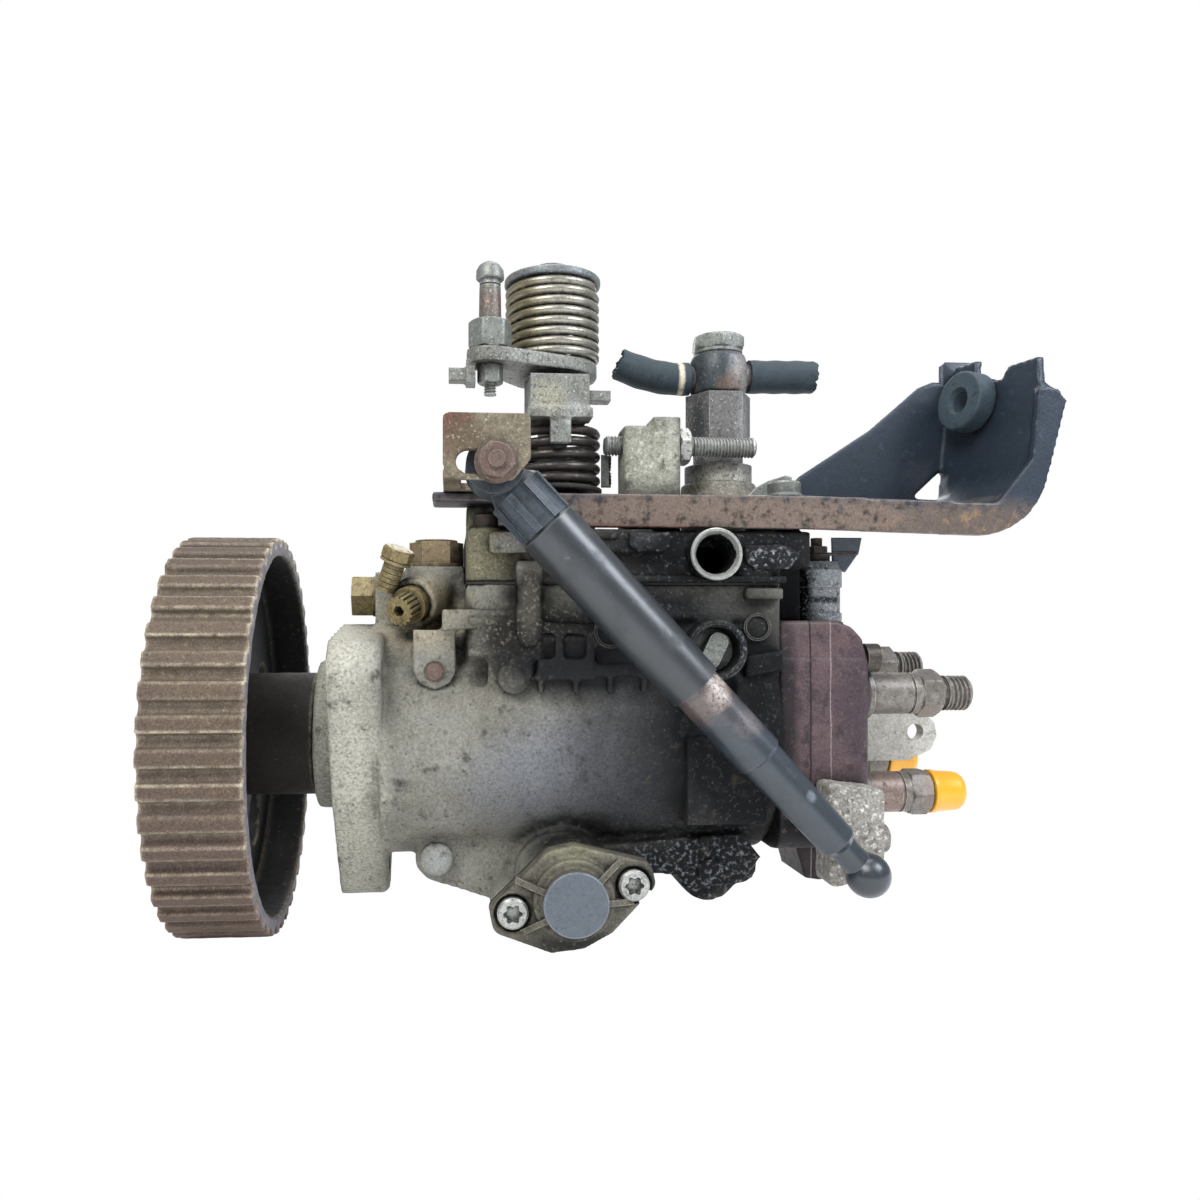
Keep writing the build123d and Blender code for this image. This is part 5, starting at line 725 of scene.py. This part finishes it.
# Rubber stubs: a wall round an open bore, torn at the free end. The outer and inner
# surfaces are one grid whose last row meets the first; near the torn end each
# column's length and radius wander by a seeded amount
def hoseStub(pathMm, outerR, innerR, seed):
    chance = np.random.default_rng(seed)
    columns, rows = 36, len(pathMm)
    tangent = np.gradient(pathMm, axis=0)
    tangent /= np.linalg.norm(tangent, axis=1, keepdims=True)
    side = np.array((0, 1.0, 0))
    third = np.cross(tangent, side)
    angle = np.linspace(0, 2 * pi, columns, endpoint=False)
    ring = np.cos(angle)[:, None] * side + np.sin(angle)[:, None] * third[:, None, :]
    near = np.clip((np.arange(rows) / (rows - 1) - 0.72) / 0.28, 0, 1)[:, None]
    wander = np.convolve(np.tile(chance.normal(0, 1, columns), 3), np.ones(3) / 3,
                         "same")[columns:2 * columns]
    swell = 0.35 * np.sin(np.arange(rows) * 0.9)[:, None] * 0.3
    outer = outerR + swell - near * 0.5 * np.abs(wander)
    inner = np.full((rows, columns), innerR) + near * 0.6 * np.abs(np.roll(wander, 5))
    shift = near * wander * 0.9
    skin = pathMm[:, None, :] + shift[..., None] * tangent[:, None, :]
    outside = (skin + outer[..., None] * ring) * mm
    inside = (skin + inner[..., None] * ring) * mm
    return np.concatenate([outside, inside[::-1]])


hoseLook = dict(middleZ=124.2, leftRadii=(5.6, 3.5), rightRadii=(5.7, 3.5))


def returnHoses():
    look = hoseLook
    low, high = boxMm("return_hoses")
    banjoLow, banjoHigh = boxMm("banjo_bolt")
    x = (banjoLow[0] + banjoHigh[0]) / 2
    z = look["middleZ"]
    t = np.linspace(0, 1, 22)[:, None]
    corners = np.array([(x - 10.6, 0, z - 1.2), (x - 18, 0, z - 1.6), (x - 25, 0, z - 0.6),
                        (low[0] + 1.5, 0, z + 3.6)])
    left = (1 - t) ** 3 * corners[0] + 3 * (1 - t) ** 2 * t * corners[1] + 3 * (1
            - t) * t ** 2 * corners[2] + t ** 3 * corners[3]
    right = np.array((x + 10.7, 0, z)) + t * np.array((high[0] - x - 12.2, 0, 0.3))
    grids = [hoseStub(left, *look["leftRadii"], 4), hoseStub(right, *look["rightRadii"], 9)]
    meshOf("tornReturnHoses", grids, "agedRubber", loop=True, stands=("return_hoses",))


# Banjo bolt with its hexagon head, and the ball-shaped fitting below: its radius is the
# neck plus a half ellipse over its height
banjoLook = dict(headHeight=5.2, hexAcross=16.6, neckR=8.3, bulge=1.9)


def banjoUnion():
    low, high = boxMm("banjo_bolt")
    x, y = (low[0] + high[0]) / 2, (low[1] + high[1]) / 2
    head = high[2] - banjoLook["headHeight"]
    bolt = [(low[2], head - 1.3, 5.4, 5.4), (head - 1.3, head - 0.9, 8.0, 8.4),
            (head - 0.9, head, 8.4, 8.4), (head, high[2], banjoLook["hexAcross"], 0, "hex")]
    meshOf("banjoBoltHead", [turnedGrid((x, y, 0), (0, 0, 1), bolt, hexTurn=6)], "zincPlatedSteel",
           stands=("banjo_bolt",))
    low, high = boxMm("banjo_fitting")
    middle = (low[2] + high[2]) / 2
    half = (high[2] - low[2]) / 2
    s = np.linspace(-half, half, 17)
    bulge = banjoLook["neckR"] + banjoLook["bulge"] * np.sqrt(np.clip(1 - (s / half) ** 2, 0, 1))
    ball = [(a + middle, b + middle, ra, rb) for a, b, ra, rb in zip(s[:-1], s[1:], bulge[:-1], bulge[1:])]
    nipples = []
    for end, z in ((low[0], middle - 1.0), (high[0], middle)):
        way = (1, 0, 0) if end > x else (-1, 0, 0)
        reach = abs(end - x)
        nipples.append(turnedGrid((x, y, z), way, [(6, 12.2, 4.6, 4.3), (12.2, reach, 3.3, 3.1)]))
    meshOf("banjoBall", [turnedGrid((x, y, 0), (0, 0, 1), ball)] + nipples, "blackenedSteel",
           stands=("banjo_fitting",), sharpDeg=50)


# Bolts and screws with washers, chamfered hexagons and sockets; each list stands for one node
boltLook = {
    "bracketBoltHeads": dict(node="bracket_bolts", material="zincPlatedSteel", pieces=[
        ((143.4, -31, 0), (0, 0, 1), 0, [
            (65.0, 77.0, 3.0, 3.0), (77.0, 77.9, 6.3, 6.3), (77.9, 78.5, 5.9, 5.4), (78.5, 81.8, 5.3, 5.3),
            (81.8, 82.4, 5.3, 4.7)]),
        ((60, -31, 0), (0, 0, 1), 0, [
            (65.0, 79.2, 3.0, 3.0), (79.2, 80.2, 6.3, 6.3), (80.2, 84.0, 5.1, 5.1), (84.0, 84.6, 5.1, 4.5)]),
    ]),
    "pivotBoltHead": dict(node="bracket_bolts", material="rustedSteel", pieces=[
        ((49, 0, 81.4), (0, -1, 0), 12, [
            (44.2, 48.0, 9.0, 0, "hex"), (48.0, 67.5, 3.0, 3.0), (67.5, 68.4, 6.0, 6.0),
            (68.4, 69.4, 5.5, 5.0), (69.4, 72.6, 9.4, 0, "hex"), (72.6, 73.6, 2.6, 2.3)]),
    ]),
    "leverStudTurned": dict(node="lever_stud", material="zincPlatedSteel", pieces=[
        ((49.2, -25, 0), (0, 0, 1), 22, [
            (110.0, 113.5, 2.0, 0, "thread"), (113.5, 119.4, 7.4, 0, "hex"), (119.4, 124.2, 2.9, 2.9),
            (124.2, 133.4, 12.4, 0, "hex"), (133.4, 134.0, 4.6, 3.6), (134.0, 144.6, 3.6, 3.4),
            (144.7, 145.1, 2.9, 2.9), (145.2, 146.6, 3.4, 3.3), (146.7, 147.1, 4.1, 4.4),
            (147.1, 149.6, 4.5, 4.4), (149.6, 151.2, 4.4, 3.5), (151.2, 152.2, 3.5, 2.2),
            (152.2, 152.7, 2.2, 0.4)]),
    ]),
    "timingScrewHeads": dict(node="timing_screws", material="brightScrewSteel", pieces=[
        ((72 + 17.62 * end, 0, -42.7 + 3.68 * end), (0, side, 0), 0, [
            (42.4, 54.3, 2.5, 2.5), (54.3, 57.6, 4.5, 4.5), (57.6, 58.2, 4.5, 3.9), (58.2, 58.2, 3.9, 2.6),
            (58.2, 56.0, 2.5, 2.4, "star")]) for side in (-1, 1) for end in (-1, 1)
    ]),
}


def boltHeads():
    for name, look in boltLook.items():
        body = "throttle" if look["node"] == "lever_stud" else "pump_body"
        grids = [turnedGrid(place, way, sections, pitchMm=0.9, hexTurn=turn) for place, way, turn,
                 sections in look["pieces"]]
        meshOf(name, grids, look["material"], body, stands=(look["node"],))


# Flat slab: the outline round its own middle, at a front and a back depth along Y
def slabGrid(outlineMm, frontY, backY):
    outline = np.array(outlineMm, float)
    middle = outline.mean(axis=0)
    rings = [(middle + (outline - middle) * k, y) for k,
             y in ((0, frontY), (0.93, frontY), (1, frontY + 0.3), (1, backY - 0.3), (0.93, backY),
                   (0, backY))]
    return np.stack([np.stack([p[:, 0], np.full(len(p), y), p[:, 1]], 1) for p, y in rings]) * mm


# Ring: its inner wall, its rims and its outer wall as one grid whose last row meets the first
def ringGrid(originMm, way, profileMm, columns=64):
    way = np.array(way, float)
    helper = np.array((0, 0, 1.0)) if abs(way[2]) < 0.9 else np.array((1.0, 0, 0))
    across = np.cross(helper, way)
    across /= np.linalg.norm(across)
    up = np.cross(way, across)
    angle = np.linspace(0, 2 * pi, columns, endpoint=False)
    profile = np.array(profileMm, float)
    ring = np.cos(angle)[:, None] * across + np.sin(angle)[:, None] * up
    return (np.array(originMm, float) + profile[:, 0][:, None, None] * way + profile[:, 1][:, None, None]
            * ring) * mm


# Timing covers: four ribs from the round boss out to the rim, and the flat slate-grey disc
# in the middle
ribLook = dict(x=72.0, z=-42.7, anglesDeg=(38, -4, 161, 212), fromMm=8.0, toMm=17.5, highY=61.5,
               lowY=57.0, halfMm=0.9, discR=9.2, discY=63.95)


def timingCoverDetails():
    look = ribLook
    grids = []
    for side in (-1, 1):
        for angle in look["anglesDeg"]:
            turn = radians(angle)
            t = np.linspace(0, 1, 6)[:, None]
            reach = look["fromMm"] + (look["toMm"] - look["fromMm"]) * t
            depth = side * (look["highY"] + (look["lowY"] - look["highY"]) * t - 1.2)
            path = np.concatenate([look["x"] + reach * cos(turn), depth, look["z"] + reach * sin(turn)], 1)
            across = (-sin(turn) * 0.707, side * 0.707, cos(turn) * 0.707)
            grids.append(tubeGrid(path, across, look["halfMm"] * 1.5, columns=4))
    meshOf("timingCoverRibs", grids, "dieCastAluminium")
    rim, face = look["discR"] + 0.2, look["discY"]
    disc = [(63.0, face - 0.3, rim, rim), (face - 0.3, face, rim, look["discR"] - 0.1)]
    discs = [turnedGrid((look["x"], 0, look["z"]), (0, side, 0), disc) for side in (-1, 1)]
    meshOf("timingCoverDiscs", discs, "machinedZinc")


# Leaning screw plug: rings with grooves between them, a collar and a hexagon
leaningLook = dict(place=(18.6, -25.0, 55.0), way=(0.33, -0.25, 0.91), ringR=3.4, hexAcross=9.0,
                   pitchMm=1.6, ringMm=1.3, grooveMm=0.3)


def leaningPlug():
    look = leaningLook
    ring, groove = look["ringR"], look["ringR"] - 0.6
    sections = []
    for k in range(-5, 1):
        start, end = k * look["pitchMm"], k * look["pitchMm"] + look["ringMm"]
        sections += [(start, end, ring, ring), (end, end + look["grooveMm"], groove, groove)]
    sections += [(1.6, 2.4, 5.0, 5.0), (2.4, 6.4, look["hexAcross"], 0, "hex")]
    meshOf("leaningPlug", [turnedGrid(look["place"], look["way"], sections, hexTurn=20)], "tarnishedBrass")


# Screwed port for the fuel supply: a rim and the first turns of its thread as rings
inletLook = dict(place=(117.2, 0, 58.1), faceY=-46.15, rimR=8.0, boreR=6.55, coreR=6.1, pitchMm=1.3,
                 turns=5, depthMm=8.0)


def inletRim():
    look = inletLook
    face = -look["faceY"]
    profile = [(face - 0.3, look["rimR"]), (face, look["rimR"] - 0.3), (face, look["boreR"] + 0.5)]
    for k in range(look["turns"]):
        profile += [(face - 0.7 - k * look["pitchMm"], look["boreR"]),
                    (face - 0.7 - (k + 0.5) * look["pitchMm"], look["coreR"])]
    end = face - look["depthMm"]
    profile += [(end, look["coreR"]), (end, look["rimR"])]
    meshOf("inletRim", [ringGrid(look["place"], (0, -1, 0), profile)], "brightScrewSteel", loop=True)


# Small sheet pieces: outline as x and z, front and back depth, finish. The comb tab's
# teeth are every second point of a row down its edge
combTeeth = [(90.6 - 0.9 * (k % 2), z) for k, z in enumerate(np.linspace(83.4, 93.6, 18)[::-1])]
tabLook = {
    "bracketClip": ([(133.6, 77.0), (134.6, 79.6), (137.0, 82.0), (141.0, 84.2), (147.0, 86.2),
                     (149.0, 85.6), (149.4, 83.0), (149.4, 77.0)], -22.5, -20.8, "zincPlatedSteel"),
    "combTab": ([(87.2, 83.0), (87.2, 94.0)] + combTeeth + [(90.4, 83.0)], -12.0, -10.5, "zincPlatedSteel"),
    "bracketProng": ([(213.6, 118), (213.6, 130.6), (214.8, 131.8), (224.2, 131.8), (225.4, 130.6),
                      (225.4, 118)], 2.4, 5.2, "paintedSheetSteel"),
    "terminalTab": ([(171.0, 56.5), (170.6, 67.6), (181.6, 67.6), (180.6, 62.4), (175.6, 55.4)],
                    -2.6, -1.4, "machinedZinc"),
}
# Bushing inside the upper spring and the rivet through the front ear: place, way, sections,
# finish and body
turnedLook = {
    "springBushing": ((71, -8, 0), (0, 0, 1), [(139.2, 144.3, 13.4, 13.4)], "machinedZinc", "throttle"),
    "earPin": ((31.7, 0, 22.3), (0, -1, 0), [
        (35.0, 37.7, 3.3, 3.3), (37.7, 38.7, 2.7, 2.5), (38.7, 39.3, 2.5, 1.5)], "rustedSteel", "pump_body"),
}


def smallPieces():
    for name, (outline, front, back, finishName) in tabLook.items():
        meshOf(name, [slabGrid(outline, front, back)], finishName)
    for name, (place, way, sections, finishName, body) in turnedLook.items():
        meshOf(name, [turnedGrid(place, way, sections)], finishName, body)


# Dust caps: a rolled lip, a long draft and a rounded end. Each rides its own body
capLook = dict(
    caps=(("dustCapFrontMoulded", "dust_cap_front", "front_cap"),
          ("dustCapRearMoulded", "dust_cap_rear", "rear_cap")),
    sections=[(199.5, 199.9, 6.8, 7.35), (199.9, 201.4, 7.35, 7.35), (201.4, 201.9, 7.35, 7.0),
              (201.9, 208.6, 7.0, 6.6), (208.6, 209.9, 6.6, 6.3), (209.9, 210.9, 6.3, 5.6),
              (210.9, 211.5, 5.6, 4.2)],
)


def dustCaps():
    for name, node, body in capLook["caps"]:
        low, high = boxMm(node)
        y, z = (low[1] + high[1]) / 2, (low[2] + high[2]) / 2
        grid = turnedGrid((0, y, z), (1, 0, 0), capLook["sections"])
        meshOf(name, [grid], "yellowPolyethylene", body, stands=(node,), sharpDeg=50)


# Rectangle from two opposite corners, each as x and z
def plate(fromX, fromZ, toX, toZ):
    return [(fromX, fromZ), (toX, fromZ), (toX, toZ), (fromX, toZ)]


# Relief of the castings: slabs (outline as x and z, front and back depth) and discs
# (x, z, radius, front and back depth), softened like the casting that they stand on
reliefLook = {
    "housingRelief": dict(material="sandCastAluminium", voxel=0.7, rounds=3,
        slabs=[
            ([(56.4, 56), (64.3, 56), (64.3, 33.5), (62.8, 30.6), (60.4, 29.7), (57.9, 30.6), (56.4, 33.5)],
             -43.5, -36),
            ([(34, 41.3), (59.6, 41.3), (59.6, 36.2), (34, 34.9)], -39.6, -28),
            ([(25.2, 35), (38.2, 35), (38.2, 22.3), (36.4, 18.6), (31.7, 16.6), (27, 18.6), (25.2, 22.3)],
             -37.4, -26),
            (plate(62.8, 26.4, 80.8, 19.6), -41.4, -36),
            ([(63.5, 37.4), (106, 35.4), (106, 32.2), (63.5, 34.2)], -41.8, -36),
            (plate(68.3, 35, 71.2, 26), -41.4, -36),
            (plate(77.8, 35, 80.8, 26), -41.4, -36),
            (plate(80.8, 24.8, 108, 20.8), -41.2, -36),
            (plate(63.2, 20, 65.0, 15.6), -41, -36),
            (plate(74.0, 20, 75.8, 15.6), -41, -36),
            (plate(84.6, 21, 86.4, 15.6), -41, -36),
            (plate(95.0, 21, 96.8, 15.6), -41, -36),
            (plate(127.5, 48, 139.5, 44.5), -41.8, -36),
            ([(127.5, 27), (139.8, 29), (139.8, 22.5), (127.5, 20)], -41.2, -36),
            ([(139.0, 38), (157.0, 38), (157.0, 60), (150, 62.5), (139.0, 62.5)], -9, 12),
        ],
        discs=[
            (56.0, 20.6, 5.2, -41.4, -34), (56.0, 20.6, 3.6, -43.0, -34), (85.2, 34.6, 5.4, -42.6, -36),
            (131.0, 35.9, 4.4, -41.8, -36), (32.2, -37.6, 5.4, -27.8, -20), (119.5, -42.3, 4.6, -31.0, -24),
            (31.7, 22.3, 2.5, -38.4, -34),
        ],
        rings=[(117.7, 28.8, [(38, 9.8), (44.4, 9.6), (45.2, 9.0), (45.2, 7.9), (44.6, 7.3), (38, 7.3)]),
               (131.0, 35.9, [(38, 4.4), (42.4, 4.3), (42.4, 3.4), (38, 3.3)]),
               (85.2, 34.6, [(38, 5.4), (43.3, 5.2), (43.3, 4.2), (38, 4.1)])]),
    "coverRelief": dict(material="sandCastAluminiumOiled", voxel=0.7, rounds=3,
        slabs=[
            (plate(48.3, 64.7, 62.5, 58.3), -43.0, -36),
            ([(90.8, 65), (103.9, 65), (103.9, 60.5), (101, 58.6), (94, 58.6), (90.8, 60.5)], -43.0, -36),
            ([(127.3, 61.4), (141, 61.4), (145.3, 58.5), (141.6, 53.9), (130, 53.9), (127.3, 56.4)], -41.6,
             -36),
            (plate(57.6, 51.8, 141.0, 49.6), -41.0, -36),
            ([(41.5, 64), (41.5, 73.5), (57.5, 73.5), (57.5, 64)], -35.0, -27),
            (plate(66, 65.2, 88, 62.6), -42.0, -36),
        ],
        discs=[(137.5, 58.2, 3.4, -43.0, -36), (97.4, 61.8, 2.6, -44.0, -36)], rings=[]),
    "headRelief": dict(material="forgedSteelOiled", voxel=0.8, rounds=3,
        slabs=[([(140.2, 38.0), (159.5, 38.0), (164.5, 36.0), (168, 32.3), (169.4, 27), (169.4, 12),
                 (140.2, 12)], -34.4, 13)], discs=[], rings=[]),
}


def castRelief():
    for name, look in reliefLook.items():
        grids = [slabGrid(outline, front, back) for outline, front, back in look["slabs"]]
        for x, z, r, front, back in look["discs"]:
            rounded = [(-back, -front - 0.6, r, r), (-front - 0.6, -front, r, r - 0.6)]
            grids.append(turnedGrid((x, 0, z), (0, -1, 0), rounded))
        piece = meshOf(name, grids, look["material"])
        softenCasting(name, look["voxel"], look["rounds"], 0.2, piece=piece)
        if look["rings"]:
            rings = [ringGrid((x, 0, z), (0, -1, 0), profile) for x, z, profile in look["rings"]]
            meshOf(name.replace("Relief", "Rims"), rings, look["material"], loop=True)


# Cast pieces lose their sharp machined look: the solid is rebuilt on a fine voxel grid,
# smoothed, and given the faint unevenness of sand casting
def softenCasting(name, voxelMm, rounds, unevenMm=0.0, waveMm=6.0, piece=None):
    piece = piece or nodes[name]
    rebuild = piece.modifiers.new("voxels", "REMESH")
    rebuild.mode = "VOXEL"
    rebuild.voxel_size = voxelMm * mm
    rebuild.use_smooth_shade = True
    smooth = piece.modifiers.new("smooth", "SMOOTH")
    smooth.iterations = rounds
    smooth.factor = 0.5
    if unevenMm:
        cloud = bpy.data.textures.new(name + "Uneven", "CLOUDS")
        cloud.noise_scale = waveMm * mm
        cloud.noise_depth = 2
        wander = piece.modifiers.new("uneven", "DISPLACE")
        wander.texture = cloud
        wander.texture_coords = "LOCAL"
        wander.strength = unevenMm * mm
        wander.mid_level = 0.5


throttleSprings()
deliveryHolders()
adjusterScrew()
returnHoses()
banjoUnion()
boltHeads()
timingCoverDetails()
leaningPlug()
inletRim()
smallPieces()
dustCaps()
castRelief()
# Cast and bent nodes: voxel in mm, rounds of smoothing, unevenness and its wave in mm
for softened in (
    ("belt_pulley", 0.8, 5, 0.25, 3.0), ("pump_housing", 1.0, 3, 0.25), ("governor_cover", 0.8, 3, 0.2),
    ("support_foot", 0.6, 4, 0.5, 3.0), ("distributor_head", 0.8, 2, 0.1), ("timing_covers", 0.6, 2, 0.1),
    ("cable_bracket", 0.75, 3, 0.1), ("throttle_lever", 0.5, 2), ("slot_bracket", 0.5, 2),
):
    softenCasting(*softened)
print("pieces done")


# Floor, backdrop, lamps and camera
stageLook = dict(floorZ=cadBox[0][2] - 0.001, floorSize=6.0, floorColour="#ffffff", worldColour="#f4f7ff",
                 worldStrength=0.5)


def plainGround():
    half = stageLook["floorSize"] / 2
    z = stageLook["floorZ"]
    mesh = bpy.data.meshes.new("floor")
    mesh.from_pydata([(-half, -half, z), (half, -half, z), (half, half, z), (-half, half, z)], [],
                     [(0, 1, 2, 3)])
    floor = bpy.data.objects.new("floor", mesh)
    bpy.context.scene.collection.objects.link(floor)
    made = bpy.data.materials.new("paleFloor")
    made.use_nodes = True
    tree = made.node_tree
    shader = tree.nodes["Principled BSDF"]
    shader.inputs["Base Color"].default_value = linear(stageLook["floorColour"])
    shader.inputs["Roughness"].default_value = 0.9
    rays = add(tree, "LightPath")
    seen = add(tree, "Math", {0: rays.outputs["Is Camera Ray"], 1: rays.outputs["Is Transmission Ray"]},
               operation="MAXIMUM").outputs[0]
    white = add(tree, "Emission", {"Color": (1, 1, 1, 1), "Strength": 1.0}).outputs[0]
    mixed = add(tree, "MixShader", {0: seen, 1: shader.outputs[0], 2: white}).outputs[0]
    tree.links.new(mixed, tree.nodes["Material Output"].inputs["Surface"])
    mesh.materials.append(made)


def paleWorld():
    world = bpy.data.worlds.new("studio")
    world.use_nodes = True
    tree = world.node_tree
    for node in list(tree.nodes):
        tree.nodes.remove(node)
    rays = add(tree, "LightPath")
    seen = add(tree, "Math", {0: rays.outputs["Is Camera Ray"], 1: rays.outputs["Is Transmission Ray"]},
               operation="MAXIMUM").outputs[0]
    level = add(tree, "MapRange", {"Value": seen, "To Min": stageLook["worldStrength"],
                                   "To Max": 1.0}).outputs[0]
    colour = add(tree, "Mix", {0: seen, 6: linear(stageLook["worldColour"]), 7: (1, 1, 1, 1)},
                 data_type="RGBA").outputs[2]
    sky = add(tree, "Background", {"Color": colour, "Strength": level}).outputs[0]
    add(tree, "OutputWorld", {"Surface": sky})
    bpy.context.scene.world = world


lampLook = {
    "keyLamp": dict(place=(-0.30, -0.60, 0.75), aim=(0.09, 0, 0.03), size=0.45, watts=9.0,
                    colour="#ffffff"),
    "coolLamp": dict(place=(0.62, -0.42, 0.55), aim=(0.09, 0, 0.03), size=0.35, watts=6.0,
                     colour="#eef4ff"),
    "topLamp": dict(place=(0.15, 0.05, 0.95), aim=(0.09, 0, 0.03), size=0.6, watts=5.0, colour="#ffffff"),
    "rearLamp": dict(place=(0.2, 0.7, 0.5), aim=(0.09, 0, 0.03), size=0.5, watts=4.0, colour="#ffffff"),
}


def softLamps():
    for name, look in lampLook.items():
        lamp = bpy.data.lights.new(name, "AREA")
        lamp.energy = look["watts"]
        lamp.size = look["size"]
        lamp.color = linear(look["colour"])[:3]
        holder = bpy.data.objects.new(name, lamp)
        bpy.context.scene.collection.objects.link(holder)
        holder.location = look["place"]
        way = Vector(look["aim"]) - Vector(look["place"])
        holder.rotation_euler = way.to_track_quat("-Z", "Y").to_euler()


cameraLook = dict(place=(0.0363, -0.335, 0.035), turnDeg=4.5, lens=29.1, shiftX=0.0617, shiftY=0.025)


def photoCamera():
    camera = bpy.data.cameras.new("camera")
    camera.lens = cameraLook["lens"]
    camera.sensor_width = 36.0
    camera.shift_x = cameraLook["shiftX"]
    camera.shift_y = cameraLook["shiftY"]
    camera.clip_start = 0.01
    holder = bpy.data.objects.new("camera", camera)
    bpy.context.scene.collection.objects.link(holder)
    holder.location = cameraLook["place"]
    holder.rotation_euler = (pi / 2, 0, -radians(cameraLook["turnDeg"]))
    bpy.context.scene.camera = holder


plainGround()
paleWorld()
softLamps()
photoCamera()
bpy.context.scene.view_settings.view_transform = "Standard"
print("stage, lamps and camera done")
